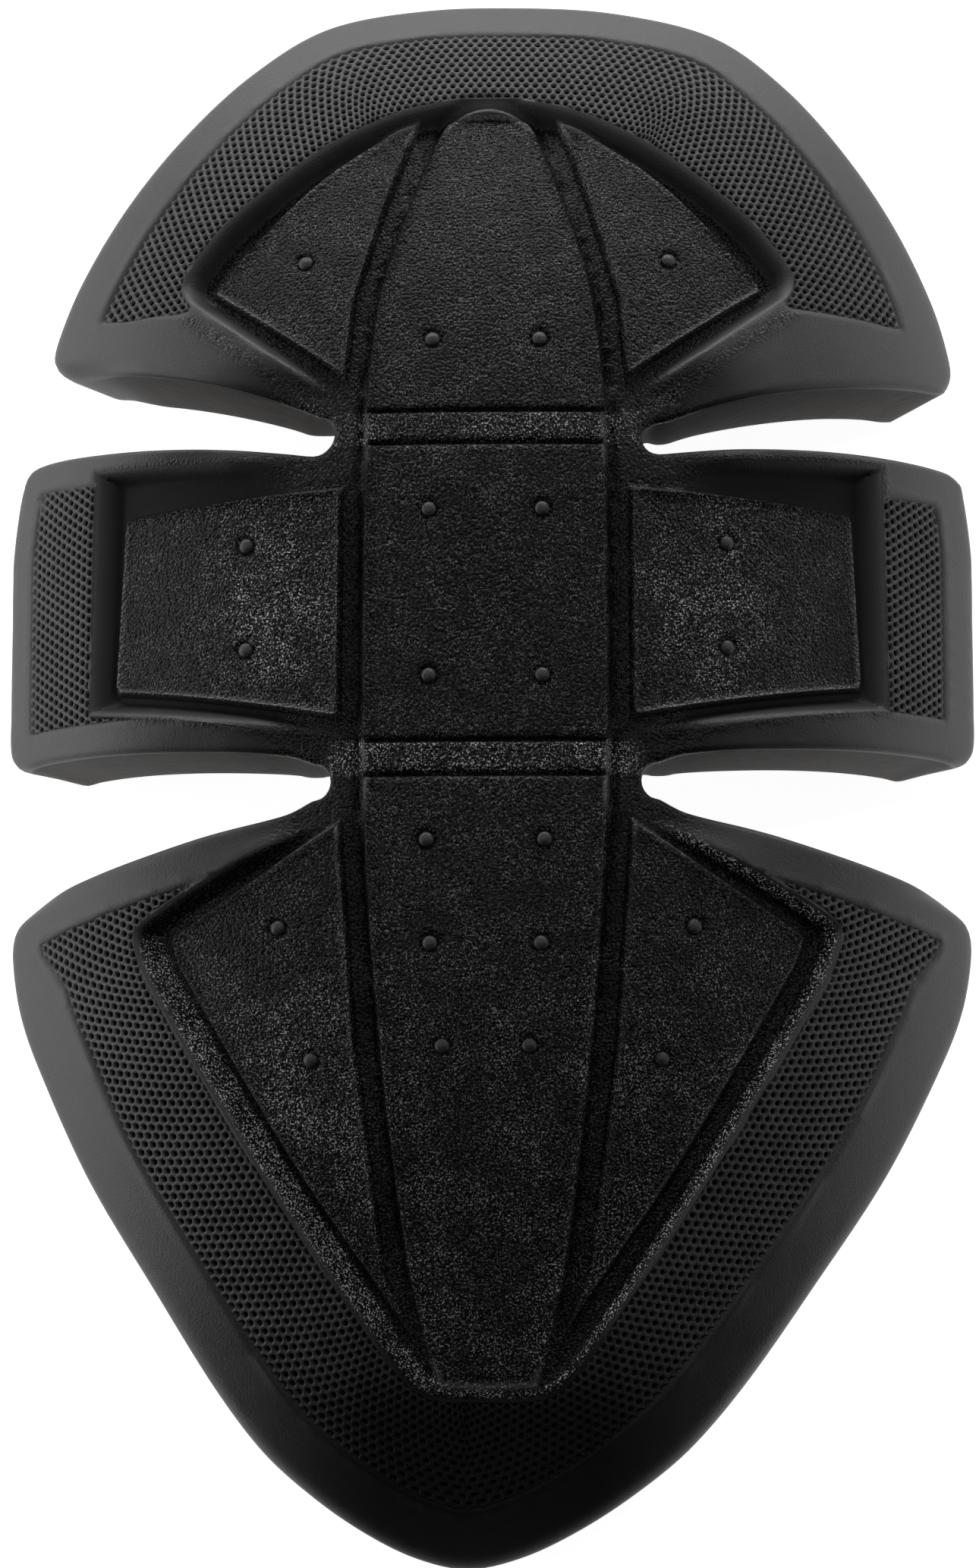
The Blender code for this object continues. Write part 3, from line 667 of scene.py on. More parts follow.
class Pattern:
    """The curves that the relief follows, worked out once."""

    def __init__(self, sizes):
        self.sizes = sizes
        self.rim = clockwise(rim_curve(sizes.curve_step))
        self.recess = clockwise(recess_curve(sizes.curve_step))
        self.plates = [clockwise(loop) for loop in plate_curves(sizes.curve_step)]
        self.band_edge = tidy_offset(self.rim, margin_width(self.rim))
        self.studs = stud_centres()

    def crease_lines(self):
        """Open lines across the column: both sides and the bottom of each crease."""
        lines = []
        for height in crease_heights():
            for side in (-1, -0.5, 0, 0.5, 1):
                y = height + side * CREASE_WIDTH / 2
                reach = float(column_edge_x(y)) - self.sizes.plate_edge
                parts = max(2, round(2 * reach / self.sizes.curve_step))
                shares = np.linspace(-1, 1, parts + 1)
                lines.append(np.column_stack([reach * shares, np.full(parts + 1, y)]))
        return lines

    def loops(self):
        """Every closed line that the plan mesh has edges along."""
        sizes = self.sizes
        radius = edge_round(self.rim)
        made = [self.rim]
        made += [inset_loop(self.rim, radius * share) for share in RIM_STEPS]
        made += [self.band_edge, tidy_offset(self.band_edge, sizes.band_lip)]
        made += [self.recess]
        made += [tidy_offset(self.recess, sizes.recess_wall * share) for share in WALL_STEPS]
        for loop in self.plates:
            made.append(loop)
            made += [tidy_offset(loop, sizes.plate_edge * share) for share in PLATE_STEPS]
        for centre in self.studs:
            made += [circle(centre, sizes.stud_radius * share, STUD_SIDES) for share in MOAT_STEPS]
        return made

    def relief(self, points):
        """Depth under the base surface at each plan point, and what the surface is like there."""
        sizes = self.sizes
        edge = np.maximum(inside_distance(points, self.rim), 0)
        radius = edge_round(points)
        steep = np.hypot(*base_surface(points)[1:])
        outer = eased(radius - SLOT_EDGE_ROUND, RIM_ROUND - SLOT_EDGE_ROUND)
        rest = np.clip(1 - edge * np.sqrt(1 + (steep * outer) ** 2) / radius, 0, 1)
        depth = radius * (1 - np.sqrt(1 - rest**2))

        in_recess = inside_distance(points, self.recess)
        fade = recess_fade(points)
        step = eased(in_recess, sizes.recess_wall)
        in_band = edge - margin_width(points)
        ends = band_ends(points, sizes)
        band = eased(in_band, sizes.band_lip)
        band *= (1 - eased(in_recess + sizes.band_lip, sizes.band_lip)) * ends
        recess = sizes.recess_depth * fade
        sunk = recess * slot_sink(points)
        depth += sizes.band_sink * band + sunk + (recess - sunk) * step
        outermost = tent(in_band + sizes.band_ridge, sizes.band_ridge)
        depth -= sizes.band_ridge_rise * outermost * ends * (in_recess < 0)

        plate = np.zeros(len(points))
        ridge = np.zeros(len(points))
        for loop in self.plates:
            in_plate = near_distance(points, loop, PLATE_REACH)
            plate = np.maximum(plate, eased(in_plate, sizes.plate_edge))
            lip = tent(in_plate - sizes.plate_edge, sizes.plate_edge)
            depth -= sizes.plate_lip * fade * lip
            ridge = np.maximum(ridge, lip)
        depth -= sizes.plate_rise * fade * plate
        foot = near_distance(points, self.plates[0], PLATE_REACH)
        gully = tent(foot + sizes.gully_width / 2, sizes.gully_width / 2)
        depth += sizes.gully_depth * gully * fade

        in_column = np.abs(points[:, 0]) <= column_edge_x(points[:, 1]) - sizes.plate_edge / 2
        crease = np.zeros(len(points))
        for height in crease_heights():
            off = np.abs(points[:, 1] - height) / (CREASE_WIDTH / 2)
            crease = np.maximum(crease, in_column * (1 - eased(off, 1)))
        depth += sizes.crease_depth * crease
        for centre in self.studs:
            out = np.linalg.norm(points - centre, axis=1) / sizes.stud_radius
            depth += sizes.moat_depth * (1 - eased(out - 1, MOAT_STEPS[0] - 1))
        return depth, self.surface_kinds(points, in_recess, step, plate, ridge, crease, band)

    def surface_kinds(self, points, in_recess, step, plate, ridge, crease, band):
        """Shares of each finish, painted glints, highlight and shade among them, by attribute name.
        """
        x, y = points.T
        low_wall = eased(LOWER_BASE_Y - y, 2 * SLOT_END_RADIUS)
        floor = eased(in_recess - self.sizes.recess_wall * FLOOR_GRAIN_START, FLOOR_GRAIN_FADE)
        floor = floor * (1 - band_sides(points) * (1 - plate))
        wall = eased(in_recess - WALL_GRAIN_START, WALL_GRAIN_FADE) * low_wall
        line = tent(in_recess + LINE_OUT, LINE_HALF) * band_sides(points)
        strip = (
            eased(upper(0, UPPER_BAND_FOOT)[1] - y, FLANK_STRIP_FADE)
            * eased(y - UPPER_BASE_Y, MM)
            * tent(in_recess + FLANK_STRIP_HALF, FLANK_STRIP_HALF)
        )
        out = np.abs(x) - COLUMN_HALF - 2 * SLOT_END_RADIUS
        sink = slot_sink(points)
        by_column = sink * (1 - eased(out, COLUMN_GRAIN_FADE))
        grain = np.maximum.reduce([
            floor, wall, LINE_GRAIN * line, FLANK_STRIP_GRAIN * strip, COLUMN_GRAIN * by_column
        ])
        # Dull skin: the recess's channels and walls and the rim sunk beside the slots, painted with
        # shade
        dull = np.maximum(step * (1 - plate), SINK_DULL_AND_SHADE * sink)
        return {
            "grain": grain,
            # glint: share of painted glints
            "glint": self.glints(points, in_recess, low_wall, strip, plate),
            # ridge: the plates' lip, with a painted highlight line near the recess
            "ridge": ridge * (1 - eased(in_recess - RIDGE_REACH, RIDGE_FADE)),
            # wall: the dull skin off the grain, painted with shade
            "wall": np.clip(dull - grain, 0, 1),
            # crease: the creases across the column, painted with shade
            "crease": crease,
            "band": band,
        }

    def glints(self, points, in_recess, low_wall, strip, plate):
        """How many painted glints the pebbles get: most on the lower flanks' wall and beside the
        column.
        """
        x, y = points.T
        low = LOWER_SPARKLE * eased(LOWER_SPARKLE_Y - y, LOWER_SPARKLE_FADE)
        share = PLAIN_SPARKLE + spot(np.abs(x), y, WING_SPOT) + spot(x, y, LOW_SPOT) + low
        shares = [
            share * (OFF_PLATE_SPARKLE + (1 - OFF_PLATE_SPARKLE) * plate),
            FLANK_STRIP_SPARKLE * strip,
        ]
        for height, sparkle in STRIP_SPARKLES:
            on_strip = (np.abs(y - height) < STRIP_WIDTH / 2) & (np.abs(x) < COLUMN_HALF)
            shares.append(sparkle * on_strip)
        width = self.sizes.recess_wall * np.where(x < 0, 1, RIGHT_WALL_SHARE)
        past = eased(in_recess - width, WALL_SPARKLE_FADE)
        wall = eased(in_recess, WALL_GRAIN_START) * (1 - past) * low_wall
        down_flank = eased(lower(0, LOWER_CORNER)[1] - y, FLANK_FADE) * recess_fade(points)
        top_right = (x > 0) * (1 - down_flank) * eased(x - COLUMN_HALF, TOP_WALL_FADE)
        shares.append(WALL_SPARKLE * wall * np.maximum(down_flank, top_right))
        return np.maximum.reduce(shares)


def band_ends(points, sizes):
    """1 where a mesh band runs, 0 past its ends."""
    y = points[:, 1]
    foot = upper(0, UPPER_BAND_FOOT)[1]
    above = eased(y - foot, sizes.band_lip)
    wings = eased(WING_TOP_Y + 4 * SLOT_END_RADIUS - y, MM) * eased(y - LOWER_BASE_Y, MM)
    below = eased(LOWER_BASE_Y - y, MM)
    return np.clip(above + wings * band_sides(points) + below, 0, 1)


def band_sides(points):
    """1 on the wings, outside the column."""
    x = np.abs(points[:, 0])
    y = points[:, 1]
    inside = eased(WING_TOP_Y + SLOT_END_RADIUS - y, MM) * eased(y - LOWER_SLOT_Y, MM)
    return inside * eased(x - COLUMN_HALF - 2 * SLOT_END_RADIUS, SLOT_END_RADIUS)


def filler(rim, taken, step):
    """Points of a triangular grid inside the rim and clear of the feature lines."""
    low = rim.min(axis=0)
    high = rim.max(axis=0)
    row_step = step * math.sqrt(3) / 2
    columns = np.arange(int((high[0] - low[0]) / step) + 1)
    rows = np.arange(int((high[1] - low[1]) / row_step) + 1)
    across = low[0] + (columns[None, :] + 0.5 * (rows[:, None] % 2)) * step
    up = np.broadcast_to(low[1] + rows[:, None] * row_step, across.shape)
    grid = np.column_stack([across.ravel(), up.ravel()])
    grid = grid[inside_distance(grid, rim) > FILL_CLEARANCE * step]
    tree = KDTree(len(taken))
    for k, (x, y) in enumerate(taken):
        tree.insert((x, y, 0), k)
    tree.balance()
    clear = [tree.find((x, y, 0))[2] > FILL_CLEARANCE * step for x, y in grid]
    return grid[clear]


def triangulated(loops, lines, loose):
    """Plan mesh inside the first loop, with every loop and line as edges."""
    coords = np.vstack(loops + lines + [loose]) / MM
    edges = []
    first = 0
    for loop in loops:
        count = len(loop)
        edges += [(first + k, first + (k + 1) % count) for k in range(count)]
        first += count
    for line in lines:
        edges += [(first + k, first + k + 1) for k in range(len(line) - 1)]
        first += len(line)
    places = [tuple(place) for place in coords.tolist()]
    made = delaunay_2d_cdt(places, edges, [], 1, PLAN_MERGE / MM)
    points = np.array([tuple(vertex) for vertex in made[0]]) * MM
    return points, np.array([tuple(face) for face in made[2]])


def split_once(points, faces):
    """Each triangle cut into four at the middles of its edges."""
    sides = np.sort(np.vstack([faces[:, (0, 1)], faces[:, (1, 2)], faces[:, (2, 0)]]), axis=1)
    pairs, where = np.unique(sides, axis=0, return_inverse=True)
    middles = (points[pairs[:, 0]] + points[pairs[:, 1]]) / 2
    ab, bc, ca = (len(points) + part for part in np.split(where.ravel(), 3))
    a, b, c = faces.T
    split = np.vstack([
        np.column_stack([a, ab, ca]),
        np.column_stack([ab, b, bc]),
        np.column_stack([ca, bc, c]),
        np.column_stack([ab, bc, ca]),
    ])
    return np.vstack([points, middles]), split


def border_of(faces):
    """Vertices of the open border in order, as the faces run past it."""
    sides = np.vstack([faces[:, (0, 1)], faces[:, (1, 2)], faces[:, (2, 0)]])
    used = set(map(tuple, sides.tolist()))
    ahead = {start: end for start, end in used if (end, start) not in used}
    loop = [min(ahead)]
    while ahead[loop[-1]] != loop[0]:
        loop.append(ahead[loop[-1]])
    return np.array(loop)


def wall_rings(border, sizes):
    """Rings of the side wall below the outer border: plan places and depths, edge to knee side."""
    along = np.roll(border, -1, axis=0) - np.roll(border, 1, axis=0)
    along /= np.linalg.norm(along, axis=1)[:, None]
    outward = np.column_stack([along[:, 1], -along[:, 0]])
    past_end = eased(np.abs(border[:, 0]) - COLUMN_HALF, 2 * SLOT_END_RADIUS)
    lean = sizes.foam_thickness * math.tan(SLOT_WALL_DRAFT) * slot_share(border) * past_end
    rings = []
    for share, tuck in WALL_RINGS:
        move = lean * share - tuck * sizes.under_round
        rings.append((border + outward * move[:, None], share))
    return rings


def finished_mesh(name, places, faces, attributes):
    """A mesh from arrays, with one float attribute for each finish."""
    mesh = bpy.data.meshes.new(name)
    mesh.from_pydata(places.tolist(), [], faces)
    for key, values in attributes.items():
        layer = mesh.attributes.new(key, "FLOAT", "POINT")
        layer.data.foreach_set("value", values.astype(np.float32))
    return mesh


def pad_mesh(pattern):
    """Outer face with its relief, side wall and knee side as one closed skin."""
    sizes = pattern.sizes
    loops = pattern.loops()
    lines = pattern.crease_lines()
    taken = np.vstack(loops + lines)
    fill = filler(pattern.rim, taken, sizes.fill_step)
    points, faces = triangulated(loops, lines, np.vstack([fill, pattern.studs]))
    points, faces = split_once(points, faces)
    depth, kinds = pattern.relief(points)
    border = border_of(faces)
    places = [lifted(points, depth)]
    all_faces = faces.tolist()
    cut = [np.zeros(len(points))]
    above = border
    start = depth[border]
    count = len(points)
    rim_cut = slot_share(points[border])
    for ring, share in wall_rings(points[border], sizes):
        places.append(lifted(ring, start + (sizes.foam_thickness - start) * share))
        below = np.arange(count, count + len(ring))
        after = np.roll(above, -1)
        below_after = np.roll(below, -1)
        all_faces += np.column_stack([after, above, below, below_after]).tolist()
        cut.append(rim_cut)
        above = below
        count += len(ring)
        last = ring
    fill = filler(last, last, sizes.under_step)
    under, under_faces = triangulated([last], [], fill)
    places.append(lifted(under, np.full(len(under), sizes.foam_thickness)))
    cut.append(np.zeros(len(under)))
    all_faces += (under_faces[:, ::-1] + count).tolist()
    count += len(under)
    attributes = {key: np.zeros(count) for key in kinds}
    for key, values in kinds.items():
        attributes[key][: len(values)] = values
    attributes["cut"] = np.concatenate(cut)
    return finished_mesh("knee_pad_skin", np.vstack(places), all_faces, attributes)


def flatten_feet(mesh):
    """Joins the rings, then cuts the rim level where the pad stands on the floor."""
    bmesh.ops.remove_doubles(mesh, verts=mesh.verts, dist=MERGE)
    everything = mesh.verts[:] + mesh.edges[:] + mesh.faces[:]
    cut = bmesh.ops.bisect_plane(
        mesh, geom=everything, dist=MERGE, plane_co=(0, 0, 0), plane_no=(0, 0, 1), clear_inner=True
    )
    edges = [part for part in cut["geom_cut"] if isinstance(part, bmesh.types.BMEdge)]
    feet = bmesh.ops.holes_fill(mesh, edges=edges, sides=0)["faces"]
    bmesh.ops.triangulate(mesh, faces=feet)
    bmesh.ops.recalc_face_normals(mesh, faces=mesh.faces)


def guide_line(run, inset, sizes):
    """Middle line of a band: the outline along these knots, moved inward on the surface."""
    line = trimmed(spline(run, sizes.curve_step, closed=False))
    along = np.gradient(line, axis=0)
    along /= np.linalg.norm(along, axis=1)[:, None]
    into = np.column_stack([along[:, 1], -along[:, 0]])
    return line + into * inset


def even_points(line, spacing):
    """Places a fixed distance apart along a plan line, measured on the surface, and the way in."""
    raised = lifted(line, np.zeros(len(line)))
    run = np.concatenate([[0], np.cumsum(np.linalg.norm(np.diff(raised, axis=0), axis=1))])
    stops = np.arange(int(run[-1] / spacing) + 1) * spacing
    places = np.column_stack([np.interp(stops, run, line[:, k]) for k in (0, 1)])
    along = np.gradient(places, axis=0)
    for _ in range(GUIDE_SMOOTHING):
        along[1:-1] = (along[:-2] + 2 * along[1:-1] + along[2:]) / 4
    along /= np.linalg.norm(along, axis=1)[:, None]
    return places, np.column_stack([along[:, 1], -along[:, 0]])


def lattice_rows(start, into, spacing, count):
    """Plan places marched inward from a line in equal steps on the surface."""
    rows = [start]
    for _ in range(count):
        _, slope_x, slope_y = base_surface(rows[-1])
        slope = slope_x * into[:, 0] + slope_y * into[:, 1]
        rows.append(rows[-1] + into * (spacing / np.sqrt(1 + slope**2))[:, None])
    return rows


def sheet_depth(plan, pattern):
    """Depth of a mesh sheet: level with the skin in its band, just under it past the edge."""
    depth, kinds = pattern.relief(plan)
    band = kinds["band"]
    dive = EDGE_DIVE * (1 - eased(band, EDGE_SHARE))
    return depth - pattern.sizes.band_sink * band + STRAND_TOP + dive


def honeycomb(run, middle, reach, keep, pattern):
    """Six-sided cells laid along a band, in rows on both sides of its middle line."""
    sizes = pattern.sizes
    start, into = even_points(guide_line(run, middle, sizes), sizes.cell_pitch / 2)
    count = int(reach / (sizes.cell_row / 3))
    outward_rows = lattice_rows(start, -into, sizes.cell_row / 3, count)
    inward_rows = lattice_rows(start, into, sizes.cell_row / 3, count)
    grid = np.array(outward_rows[:0:-1] + inward_rows)
    cells = []
    for row, middle_row in enumerate(range(2, len(grid) - 2, 3)):
        columns = np.arange(1 + row % 2, len(start) - 1, 2)
        centres = grid[middle_row, columns]
        for column in columns[keep(centres)]:
            cells.append([(middle_row + up, column + across) for across, up in CELL_CORNERS])
    used = sorted({corner for cell in cells for corner in cell})
    index = {corner: k for k, corner in enumerate(used)}
    plan = np.array([grid[corner] for corner in used])
    faces = [[index[corner] for corner in cell] for cell in cells]
    return plan, faces


def in_band(pattern, low_y, high_y):
    """Test for cell centres: inside the band's edge, outside the recess and between two heights."""

    def keep(centres):
        edge = inside_distance(centres, pattern.rim) - margin_width(centres)
        outside = -inside_distance(centres, pattern.recess)
        y = centres[:, 1]
        return (
            (edge > -EDGE_OVERLAP)
            & (outside > -EDGE_OVERLAP)
            & (y > low_y - EDGE_OVERLAP)
            & (y < high_y + EDGE_OVERLAP)
        )

    return keep


class Graph:
    """Adds nodes to one tree and joins them."""

    def __init__(self, tree):
        self.tree = tree
        tree.nodes.clear()

    def node(self, kind, values=None, **settings):
        """A node of a type, its settings made first, then the values or links of its sockets."""
        made = self.tree.nodes.new(kind)
        for name, value in settings.items():
            setattr(made, name, value)
        for key, value in (values or {}).items():
            if isinstance(value, Value):
                value = value.socket
            if isinstance(value, bpy.types.NodeSocket):
                self.tree.links.new(value, made.inputs[key])
            else:
                made.inputs[key].default_value = value
        return made

    def value(self, kind, values=None, output=0, **settings):
        """One output of such a node, ready for sums."""
        return Value(self, self.node(kind, values, **settings).outputs[output])


def sums(operation):
    """The two methods of an operator: with the value first, and with it second."""

    def first(self, other):
        return self.graph.value("ShaderNodeMath", {0: self, 1: other}, operation=operation)

    def second(self, other):
        return self.graph.value("ShaderNodeMath", {0: other, 1: self}, operation=operation)

    return first, second


class Value:
    """A socket that can be added, multiplied and eased."""

    __add__, __radd__ = sums("ADD")
    __sub__, __rsub__ = sums("SUBTRACT")
    __mul__, __rmul__ = sums("MULTIPLY")

    def __init__(self, graph, socket):
        self.graph = graph
        self.socket = socket

    def over(self, low, high):
        """Smooth step from 0 at low to 1 at high."""
        ends = {"Value": self, "From Min": low, "From Max": high}
        return self.graph.value("ShaderNodeMapRange", ends, interpolation_type="SMOOTHSTEP")


def painted(graph, share, colours):
    """A colour between two, by a share."""
    values = {0: share, 6: colours[0], 7: colours[1]}
    return graph.value("ShaderNodeMix", values, output=2, data_type="RGBA")


def new_material(name):
    """A material, its graph and its object coordinates."""
    material = bpy.data.materials.new(name)
    material.use_nodes = True
    graph = Graph(material.node_tree)
    return material, graph, graph.node("ShaderNodeTexCoord").outputs["Object"]


def attribute(graph, name):
    return graph.value("ShaderNodeAttribute", output=2, attribute_name=name)


def noise(graph, place, size, detail=2.0, rough=0.5):
    """Cloudy noise whose lumps are about a size across."""
    values = {"Vector": place, "Scale": 1 / size, "Detail": detail, "Roughness": rough}
    return graph.value("ShaderNodeTexNoise", values)


def pebbles(graph, place, size):
    """Rounded pebbles of about a size across, their height from 0 to 1 and a number for each."""
    cells = graph.node("ShaderNodeTexVoronoi", {"Vector": place, "Scale": 1 / size}, feature="F1")
    off = Value(graph, cells.outputs["Distance"])
    number = graph.node("ShaderNodeSeparateColor", {0: cells.outputs["Color"]})
    return 1 - off * off, Value(graph, number.outputs[0])


def bumped(graph, height, distance, strength=1.0, under=None):
    """Normal from a height, on top of another normal if there is one."""
    values = {"Height": height, "Distance": distance, "Strength": strength}
    if under is not None:
        values["Normal"] = under
    return graph.node("ShaderNodeBump", values).outputs["Normal"]


def painted_tip_shade(graph, place):
    """Share of the painted shade, black and dull, at the lower tip."""
    split = graph.node("ShaderNodeSeparateXYZ", {0: place})
    out = graph.value("ShaderNodeMath", {0: split.outputs[0]}, operation="ABSOLUTE")
    across = 1 - out.over(*TIP_SHADE_X)
    return Value(graph, split.outputs[1]).over(*TIP_SHADE_Y) * across


def end_material(graph, look, finish, dull):
    """Ends the tree with the skin's gloss, and the plates' low one where it is dull."""
    ends = []
    for gloss in (finish.gloss, finish.plate_gloss):
        values = {**look, "Specular IOR Level": gloss}
        ends.append(graph.node("ShaderNodeBsdfPrincipled", values).outputs[0])
    both = graph.node("ShaderNodeMixShader", {0: dull, 1: ends[0], 2: ends[1]})
    graph.node("ShaderNodeOutputMaterial", {"Surface": both.outputs[0]})


def skin_material(finish, sizes):
    """Black moulded skin: pebbled and dark on the plates, smooth on the rim, matt on cut walls;
    painted glints, edge highlight and shade.
    """
    material, graph, place = new_material("moulded_skin")
    kinds = ("grain", "cut", "wall", "ridge", "glint", "band", "crease")
    kind = {name: attribute(graph, name) for name in kinds}
    grain = kind["grain"]
    smooth = 1 - grain
    # Painted shade at the lower tip
    tip = painted_tip_shade(graph, place)

    height, each = pebbles(graph, place, sizes.pebble_size)
    cloud = noise(graph, place, SKIN_CLOUD, 3.0)
    fine = noise(graph, place, FINE_GRAIN, 2.0, 0.7)
    brushed = graph.node("ShaderNodeMapping", {"Vector": place, "Scale": BRUSH_STRETCH})
    streaks = noise(graph, brushed.outputs[0], BRUSH_SIZE, 3.0, 0.6)

    # Painted glints: bright specks in the colour, where the glint share asks for them
    dots = noise(graph, place, PAINTED_GLINT_SIZE, 2.0, 0.6).over(*PAINTED_GLINT_RANGE)
    patches = noise(graph, place, PAINTED_GLINT_PATCH).over(*PAINTED_GLINT_PATCH_RANGE)
    painted_glint = dots * grain * kind["glint"] * (PAINTED_GLINT_LEAST + (1 - PAINTED_GLINT_LEAST) * patches)
    rough = (
        finish.rim_roughness * smooth
        + finish.pebble_roughness * grain
        - GLOSSY_PEBBLE * each.over(*GLOSSY_PEBBLE_RANGE) * grain
        + CLOUD_ROUGHNESS * (cloud - 0.5)
    )
    for name, shift in ROUGHNESS_SHIFTS:
        rough = rough + shift * kind[name]
    # Cloudy tone on the smooth rim, with painted shade at the lower tip
    light_share = cloud.over(*CLOUD_RANGE) * smooth * (1 - tip)
    skin = painted(graph, light_share, (finish.skin_dark, finish.skin_light))
    walls = painted(graph, streaks.over(*BRUSH_RANGE), (finish.cut_dark, finish.cut_light))
    colour = painted(graph, kind["cut"], (skin, walls))
    # Darker pebbled grain and painted shade on the dull skin, painted glints, a painted highlight
    # on the plates' edges, painted shade in the creases
    for share, paint in (
        (GRAIN_PITCH * grain + RECESS_SHADE_PAINT * kind["wall"], GRAIN_TONE_AND_SHADE_BLACK),
        (painted_glint, finish.painted_glint),
        (RIDGE_HIGHLIGHT_PAINT * kind["ridge"], finish.painted_edge_highlight),
        (CREASE_SHADE_PAINT * kind["crease"], CREASE_SHADE_BLACK),
    ):
        colour = painted(graph, share, (colour, paint))

    relief = bumped(graph, fine, FINE_HEIGHT, finish.fine_bump)
    relief = bumped(graph, streaks * kind["cut"], BRUSH_HEIGHT, 1.0, relief)
    relief = bumped(graph, height * grain, sizes.pebble_height, 1.0, relief)
    look = {"Base Color": colour, "Roughness": rough, "Normal": relief}
    end_material(graph, look, finish, (grain + kind["wall"] + tip) * (1 - kind["ridge"]))
    return material


def mesh_material(finish):
    """The mesh bands: the same skin, a little duller, with painted shade black in the dimples and
    strands painted lighter.
    """
    material, graph, place = new_material("mesh_bands")
    pit = attribute(graph, "pit")
    fine = noise(graph, place, MESH_FINE_GRAIN, 2.0, 0.7)
    cloud = noise(graph, place, MESH_CLOUD, 3.0)
    # Painted shade at the lower tip
    tip = painted_tip_shade(graph, place)
    # Cloudy tone on the strands, lighter than the skin as a painted highlight, with painted shade
    # at the tip
    light_share = (STRAND_LEAST + cloud.over(*CLOUD_RANGE)) * (1 - tip)
    strand = painted(graph, light_share, (finish.skin_dark, finish.strand_tone_and_highlight))
    # Painted shade: the dimples' floors painted near black
    colour = painted(graph, pit, (strand, GRAIN_TONE_AND_SHADE_BLACK))
    rough = finish.strand_roughness + CLOUD_ROUGHNESS * (cloud - 0.5) + PIT_ROUGHNESS * pit
    relief = bumped(graph, fine, FINE_HEIGHT, finish.fine_bump)
    look = {"Base Color": colour, "Roughness": rough, "Normal": relief}
    end_material(graph, look, finish, pit + tip)
    return material


def floor_material(finish):
    """A light table: white under the pad, pale grey away from it."""
    material, graph, place = new_material("studio_floor")
    split = graph.node("ShaderNodeSeparateXYZ", {0: place})
    below = Value(graph, split.outputs[1]).over(*GLOW_EDGE)
    away = graph.value("ShaderNodeVectorMath", {0: place}, output=1, operation="LENGTH")
    share = below * (1 - away.over(*GLOW_FADE))
    glow = painted(graph, share, [(g, g, g, 1) for g in (finish.floor_far, finish.floor_glow)])
    values = {
        "Base Color": finish.floor_colour,
        "Roughness": 0.9,
        "Emission Color": glow,
        "Emission Strength": 1.0,
    }
    made = graph.node("ShaderNodeBsdfPrincipled", values)
    graph.node("ShaderNodeOutputMaterial", {"Surface": made.outputs[0]})
    return material


def geometry_tree(name, inputs):
    """A node tree with a geometry input, named sizes and a geometry output."""
    tree = bpy.data.node_groups.new(name, "GeometryNodeTree")
    sockets = tree.interface
    sockets.new_socket("Geometry", in_out="INPUT", socket_type="NodeSocketGeometry")
    for label, value in inputs.items():
        socket = sockets.new_socket(label, in_out="INPUT", socket_type="NodeSocketFloat")
        socket.default_value = value
    sockets.new_socket("Geometry", in_out="OUTPUT", socket_type="NodeSocketGeometry")
    graph = Graph(tree)
    return graph, graph.node("NodeGroupInput").outputs


def end_tree(graph, geometry, material):
    """Realizes, shades and gives the finish, then ends the tree."""
    real = graph.node("GeometryNodeRealizeInstances", {"Geometry": geometry})
    values = {"Geometry": real.outputs[0], "Shade Smooth": True}
    shaded = graph.node("GeometryNodeSetShadeSmooth", values)
    values = {"Geometry": shaded.outputs[0], "Material": material}
    done = graph.node("GeometryNodeSetMaterial", values)
    graph.node("NodeGroupOutput", {"Geometry": done.outputs[0]})
    return graph.tree


def cell_tree(sizes, material):
    """Turns each face of a sheet into a dimple between strands, and closes the sheet below."""
    inputs = {
        "Strand": sizes.strand_share,
        "Dish": sizes.cell_dish,
        "Depth": sizes.cell_depth,
        "Thickness": sizes.sheet_depth,
    }
    graph, given = geometry_tree("dimple_cells", inputs)

    def pushed(mesh, size, **more):
        """A mesh extruded down by one of the tree's sizes, and the field of its new faces."""
        values = {"Mesh": mesh, "Offset Scale": Value(graph, given[size]) * -1.0, **more}
        made = graph.node("GeometryNodeExtrudeMesh", values)
        return made.outputs["Mesh"], made.outputs["Top"]

    def narrowed(mesh, top, scale):
        values = {"Geometry": mesh, "Selection": top, "Scale": scale}
        return graph.node("GeometryNodeScaleElements", values).outputs[0]

    back, _ = pushed(given["Geometry"], "Thickness", Individual=False)
    back = graph.node("GeometryNodeFlipFaces", {"Mesh": back})
    dish, opening = pushed(given["Geometry"], "Dish", Individual=True)
    dish = narrowed(dish, opening, 1 - Value(graph, given["Strand"]))
    pit, bottom = pushed(dish, "Depth", Individual=True, Selection=opening)
    pit = narrowed(pit, bottom, PIT_TAPER)
    values = {"Geometry": pit, "Selection": bottom, "Name": "pit", "Value": 1.0}
    marked = graph.node(
        "GeometryNodeStoreNamedAttribute", values, data_type="FLOAT", domain="POINT"
    )
    joined = graph.node("GeometryNodeJoinGeometry")
    for part in (marked, back):
        graph.tree.links.new(part.outputs[0], joined.inputs[0])
    values = {"Geometry": joined.outputs[0], "Distance": MERGE}
    welded = graph.node("GeometryNodeMergeByDistance", values)
    return end_tree(graph, welded.outputs[0], material)


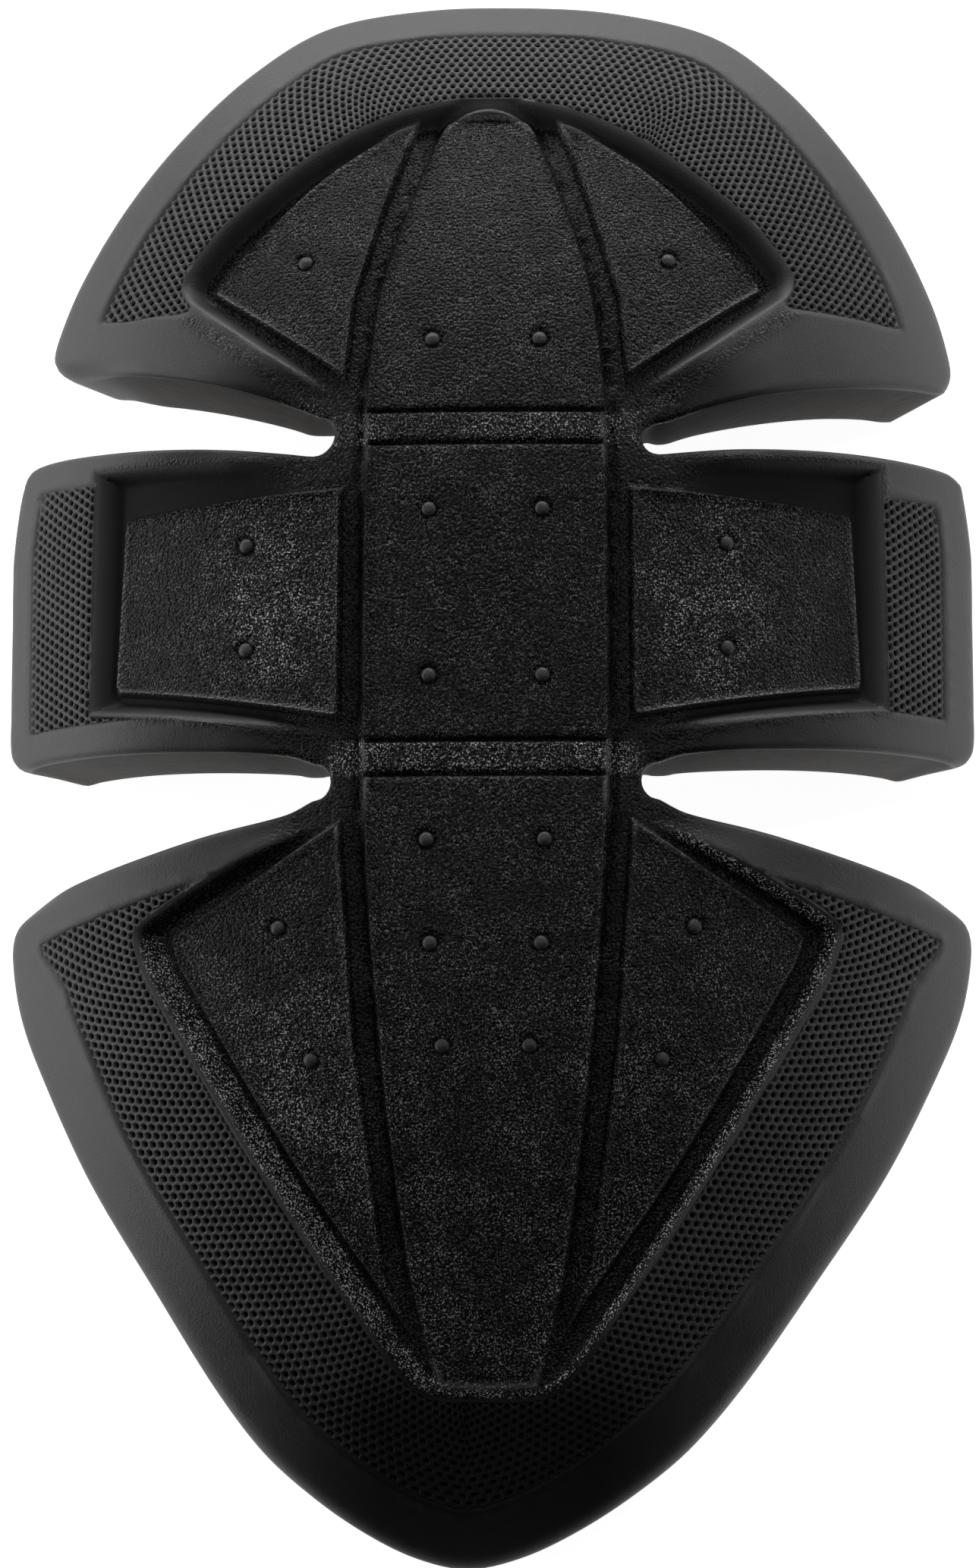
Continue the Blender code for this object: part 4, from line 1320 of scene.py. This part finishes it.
def stud_tree(sizes, material):
    """A low dome on each point, standing along the point's own lean."""
    inputs = {"Radius": sizes.stud_radius, "Rise": sizes.stud_rise}
    graph, given = geometry_tree("stud_domes", inputs)
    values = {"Segments": STUD_SEGMENTS, "Rings": STUD_RINGS, "Radius": given["Radius"]}
    ball = graph.node("GeometryNodeMeshUVSphere", values)
    values = {0: given["Rise"], 1: given["Radius"]}
    height = graph.value("ShaderNodeMath", values, operation="DIVIDE")
    flat = graph.node("ShaderNodeCombineXYZ", {0: 1.0, 1: 1.0, 2: height})
    values = {"Geometry": ball.outputs[0], "Scale": flat.outputs[0]}
    dome = graph.node("GeometryNodeTransform", values)
    lean = graph.node(
        "GeometryNodeInputNamedAttribute", {"Name": "lean"}, data_type="FLOAT_VECTOR"
    )
    values = {"Vector": lean.outputs[0]}
    turn = graph.node("FunctionNodeAlignRotationToVector", values, axis="Z")
    values = {
        "Points": given["Geometry"],
        "Instance": dome.outputs[0],
        "Rotation": turn.outputs[0],
    }
    set_out = graph.node("GeometryNodeInstanceOnPoints", values)
    return end_tree(graph, set_out.outputs[0], material)


def grown(name, mesh, tree):
    """The plain mesh that a tree makes of a mesh, as a finished object."""
    piece = bpy.data.objects.new(name, mesh)
    bpy.context.scene.collection.objects.link(piece)
    modifier = piece.modifiers.new(tree.name, "NODES")
    modifier.node_group = tree
    for item in tree.interface.items_tree:
        if item.in_out == "INPUT" and item.socket_type == "NodeSocketFloat":
            modifier[item.identifier] = item.default_value
    ready = bpy.context.evaluated_depsgraph_get()
    result = bpy.data.meshes.new_from_object(piece.evaluated_get(ready))
    piece.modifiers.remove(modifier)
    piece.data = result
    result.name = name
    bpy.data.meshes.remove(mesh)
    return piece


def settle(piece, name):
    """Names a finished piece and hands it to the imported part's body."""
    piece.name = name
    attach(piece, BODY)


def length_of(label, text, size):
    """A length, given in millimetres."""
    return FloatProperty(name=label, description=text, default=size * MM, unit="LENGTH")


def share_of(label, text, value):
    return FloatProperty(name=label, description=text, default=value, subtype="FACTOR")


def power_of(label, text, watts):
    return FloatProperty(name=label, description=text, default=watts, subtype="POWER")


def tint_of(label, text, colour):
    colour = (*colour, 1.0)
    return FloatVectorProperty(
        name=label, description=text, default=colour, size=4, subtype="COLOR"
    )


class KneePadSizes(bpy.types.PropertyGroup):
    """Sizes of the relief and of the mesh that shows it."""

    foam_thickness: length_of("Foam thickness", "Through the foam", 13.0)
    recess_depth: length_of("Recess depth", "From the bands to the channels", 3.4)
    recess_wall: length_of("Recess wall", "Width of the wall round the recess", 2.9)
    plate_rise: length_of("Plate rise", "Plates above the channels", 1.0)
    plate_edge: length_of("Plate edge", "Width of the plates' rounded edge", 0.8)
    plate_lip: length_of("Plate lip", "Rise of the thin line along the plates", 0.35)
    gully_width: length_of("Gully width", "Dark line beside the centre plate", 1.5)
    gully_depth: length_of("Gully depth", "Its depth under the groove", 0.7)
    crease_depth: length_of("Crease depth", "Creases across the column", 0.9)
    band_sink: length_of("Band sink", "Bed of the mesh bands under the rim", 0.75)
    band_lip: length_of("Band lip", "Width of the step down to that bed", 0.7)
    band_ridge: length_of("Band ridge", "Half width of the line outside the bands", 0.5)
    band_ridge_rise: length_of("Ridge rise", "Rise of that line", 0.18)
    cell_pitch: length_of("Dimple pitch", "From dimple to dimple along a band", 1.6)
    cell_row: length_of("Dimple rows", "From row to row of dimples", 1.38)
    cell_dish: length_of("Strand rounding", "From a strand's top to its dimple's rim", 0.16)
    cell_depth: length_of("Dimple depth", "Depth of a dimple", 0.42)
    sheet_depth: length_of("Mesh depth", "From the strands down to the bed", 0.72)
    strand_share: share_of("Strand share", "Share of a cell taken by strands", 0.34)
    stud_radius: length_of("Stud radius", "Radius of a stud", 1.3)
    stud_rise: length_of("Stud rise", "Height of a stud's dome", 0.8)
    moat_depth: length_of("Moat depth", "Ring sunk round a stud", 0.45)
    pebble_size: length_of("Pebble size", "Across one pebble of the grain", 0.52)
    pebble_height: length_of("Pebble height", "Height of the grain", 0.22)
    under_round: length_of("Lower edge", "Rounding at the knee side", 1.2)
    curve_step: length_of("Line step", "Between points of the plan lines", 1.6)
    fill_step: length_of("Fill step", "Between points in the open areas", 1.9)
    under_step: length_of("Knee side step", "Between points of the knee side", 4.0)


class KneePadFinish(bpy.types.PropertyGroup):
    """Colours and gloss of the foam, and the studio's light."""

    skin_dark: tint_of("Skin, dark", "Moulded skin where it is darkest", (0.0045, 0.0045, 0.005))
    skin_light: tint_of("Skin, light", "Moulded skin where it is lightest", (0.010, 0.010, 0.011))
    # Strands' lightest colour: cloudy tone and a painted highlight on their tops
    strand_tone_and_highlight: tint_of(
        "Mesh strands", "Lightest shade of the strands between dimples", (0.022, 0.022, 0.023)
    )
    # Painted highlight: the light line along the plates' outer edges
    painted_edge_highlight: tint_of(
        "Plate edges", "Painted highlight line along the plates' outer edges", (0.055, 0.055, 0.057)
    )
    # Colour of the painted glints among the pebbles
    painted_glint: tint_of("Painted glints", "Bright painted glints among the pebbles", (0.50, 0.50, 0.49))
    cut_dark: tint_of("Cut foam, dark", "Walls of the slots", (0.028, 0.025, 0.023))
    cut_light: tint_of("Cut foam, light", "Brushed streaks on those walls", (0.050, 0.045, 0.041))
    floor_colour: tint_of("Floor", "Studio floor", (0.92, 0.92, 0.92))
    rim_roughness: share_of("Rim roughness", "Smooth rim", 0.48)
    pebble_roughness: share_of("Plate roughness", "Pebbled plates", 0.30)
    strand_roughness: share_of("Mesh roughness", "Strands of the mesh bands", 0.50)
    fine_bump: share_of("Fine grain", "Strength of the foam's finest grain", 1.0)
    plate_gloss: share_of("Plate gloss", "Specular level of the pebbled plates", 0.10)
    gloss: share_of("Gloss", "Specular level of the skin", 0.5)
    world_light: share_of("Room light", "Strength of the even light", 0.02)
    floor_glow: share_of("Floor glow", "Light table under the pad", 0.92)
    floor_far: share_of("Floor, far", "Glow away from the pad", 0.10)
    crown_power: power_of("Crown light", "Low softbox past the crown", 26.0)
    left_power: power_of("Left light", "Low softbox on the left", 15.5)
    right_power: power_of("Right light", "Low softbox on the right", 5.4)
    front_power: power_of("Front light", "Small light on the tip's side", 0.15)
    strip_power: power_of("Strip lights", "Two strips overhead", 2.6)


class KNEEPAD_OT_stage(bpy.types.Operator):
    """Floor, soft studio light and the camera."""

    bl_idname = "knee_pad.stage"
    bl_label = "Build the studio"

    def execute(self, context):
        scene = context.scene
        finish = scene.knee_pad_finish
        scene.view_settings.view_transform = "Standard"
        floor_mesh = bpy.data.meshes.new("studio_floor")
        signs = ((-1, -1), (1, -1), (1, 1), (-1, 1))
        corners = [(x * FLOOR_HALF, y * FLOOR_HALF, FLOOR_Z) for x, y in signs]
        floor_mesh.from_pydata(corners, [], [(0, 1, 2, 3)])
        floor_mesh.materials.append(floor_material(finish))
        floor = bpy.data.objects.new("studio_floor", floor_mesh)
        scene.collection.objects.link(floor)

        world = bpy.data.worlds.new("studio_room")
        world.use_nodes = True
        room = world.node_tree.nodes["Background"]
        room.inputs["Color"].default_value = (1.0, 1.0, 1.0, 1.0)
        room.inputs["Strength"].default_value = finish.world_light
        scene.world = world
        for name, power, place, width, height in SOFTBOXES:
            light = bpy.data.lights.new(name, "AREA")
            light.shape = "RECTANGLE"
            light.size = width
            light.size_y = height
            light.energy = getattr(finish, power)
            box = bpy.data.objects.new(name, light)
            box.location = place
            box.rotation_euler = (-Vector(place)).to_track_quat("-Z", "Y").to_euler()
            box.visible_camera = False
            scene.collection.objects.link(box)
        scene.camera = self.camera(scene)
        return {"FINISHED"}

    def camera(self, scene):
        """Looks down on the pad, a little from the tip's side."""
        back = Vector((
            math.sin(CAMERA_ROLL) * math.cos(CAMERA_TILT),
            -math.sin(CAMERA_TILT),
            math.cos(CAMERA_ROLL) * math.cos(CAMERA_TILT),
        )).normalized()
        right = Vector((0, 1, 0)).cross(back).normalized()
        up = back.cross(right)
        aim = Vector(CAMERA_TARGET) + right * CAMERA_SLIDE[0] + up * CAMERA_SLIDE[1]
        data = bpy.data.cameras.new("photo_camera")
        data.sensor_fit = "VERTICAL"
        data.sensor_height = SENSOR
        data.lens = SENSOR * CAMERA_DISTANCE / VIEW_HEIGHT
        data.clip_start, data.clip_end = CAMERA_CLIP
        camera = bpy.data.objects.new("photo_camera", data)
        turn = Matrix((right, up, back)).transposed().to_4x4()
        camera.matrix_world = Matrix.Translation(aim + back * CAMERA_DISTANCE) @ turn
        scene.collection.objects.link(camera)
        return camera


class KNEEPAD_OT_pad(bpy.types.Operator):
    """The foam itself: relief, rim, slot walls and knee side in one closed skin."""

    bl_idname = "knee_pad.pad"
    bl_label = "Build the foam pad"

    def execute(self, context):
        sizes = context.scene.knee_pad_sizes
        mesh = pad_mesh(Pattern(sizes))
        work = bmesh.new()
        work.from_mesh(mesh)
        flatten_feet(work)
        work.to_mesh(mesh)
        work.free()
        mesh.shade_smooth()
        mesh.set_sharp_from_angle(angle=SMOOTH_ANGLE)
        mesh.materials.append(skin_material(context.scene.knee_pad_finish, sizes))
        pad = bpy.data.objects.new("foam_pad", mesh)
        context.scene.collection.objects.link(pad)
        settle(pad, "foam_pad")
        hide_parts(PAD_NODE)
        return {"FINISHED"}


class KNEEPAD_OT_mesh_bands(bpy.types.Operator):
    """The dimpled mesh bands: one over the crown, one on each wing and one round the tip."""

    bl_idname = "knee_pad.mesh_bands"
    bl_label = "Build the mesh bands"

    def execute(self, context):
        sizes = context.scene.knee_pad_sizes
        pattern = Pattern(sizes)
        material = mesh_material(context.scene.knee_pad_finish)
        tree = cell_tree(sizes, material)
        crown = knots(upper, UPPER_OUTLINE[:CROWN_BAND_KNOTS])
        side = knots(wing, WING_GUIDE)
        flank = knots(lower, LOWER_GUIDE + LOWER_OUTLINE[TIP_BAND_START:])
        foot = upper(0, UPPER_BAND_FOOT)[1]
        wing_heights = (WING_BASE_Y, UPPER_SLOT_Y)
        tip = flank + flipped(flank[:-1])
        bands = (
            ("mesh_band_crown", flipped(crown) + crown[1:], UPPER_BAND_MIDDLE, (foot, CROWN_Y)),
            ("mesh_band_wing_right", side, WING_BAND_MIDDLE, wing_heights),
            ("mesh_band_wing_left", flipped(side), WING_BAND_MIDDLE, wing_heights),
            ("mesh_band_tip", tip, LOWER_BAND_MIDDLE, (TIP_Y, LOWER_SLOT_Y)),
        )
        for name, run, middle, heights in bands:
            plan, faces = honeycomb(run, middle, BAND_REACH, in_band(pattern, *heights), pattern)
            sheet = finished_mesh(name, lifted(plan, sheet_depth(plan, pattern)), faces, {})
            sheet.attributes.new("pit", "FLOAT", "POINT")
            settle(grown(name, sheet, tree), name)
        return {"FINISHED"}


class KNEEPAD_OT_studs(bpy.types.Operator):
    """The small round studs on the plates."""

    bl_idname = "knee_pad.studs"
    bl_label = "Build the studs"

    def execute(self, context):
        sizes = context.scene.knee_pad_sizes
        pattern = Pattern(sizes)
        material = skin_material(context.scene.knee_pad_finish, sizes)
        material.name = "stud_skin"
        depth = pattern.relief(pattern.studs)[0]
        mesh = finished_mesh("studs", lifted(pattern.studs, depth), [], {})
        lean = mesh.attributes.new("lean", "FLOAT_VECTOR", "POINT")
        lean.data.foreach_set("vector", surface_normals(pattern.studs).ravel().astype(np.float32))
        settle(grown("studs", mesh, stud_tree(sizes, material)), "studs")
        return {"FINISHED"}


class KNEEPAD_PT_panel(bpy.types.Panel):
    """Sizes, finish and the buttons that build each piece."""

    bl_label = "Knee pad"
    bl_idname = "KNEEPAD_PT_panel"
    bl_space_type = "VIEW_3D"
    bl_region_type = "UI"
    bl_category = "Knee pad"

    def draw(self, context):
        layout = self.layout
        for operator in OPERATORS:
            layout.operator(operator.bl_idname)
        for group in (context.scene.knee_pad_sizes, context.scene.knee_pad_finish):
            column = layout.column(align=True)
            for name in type(group).__annotations__:
                column.prop(group, name)


OPERATORS = (KNEEPAD_OT_stage, KNEEPAD_OT_pad, KNEEPAD_OT_mesh_bands, KNEEPAD_OT_studs)
CLASSES = (KneePadSizes, KneePadFinish) + OPERATORS + (KNEEPAD_PT_panel,)


def register():
    for kind in CLASSES:
        bpy.utils.register_class(kind)
    bpy.types.Scene.knee_pad_sizes = PointerProperty(type=KneePadSizes)
    bpy.types.Scene.knee_pad_finish = PointerProperty(type=KneePadFinish)


def unregister():
    del bpy.types.Scene.knee_pad_finish
    del bpy.types.Scene.knee_pad_sizes
    for kind in reversed(CLASSES):
        bpy.utils.unregister_class(kind)


def main():
    register()
    for operator in OPERATORS:
        getattr(bpy.ops.knee_pad, operator.bl_idname.split(".")[1])()


if __name__ == "__main__":
    main()
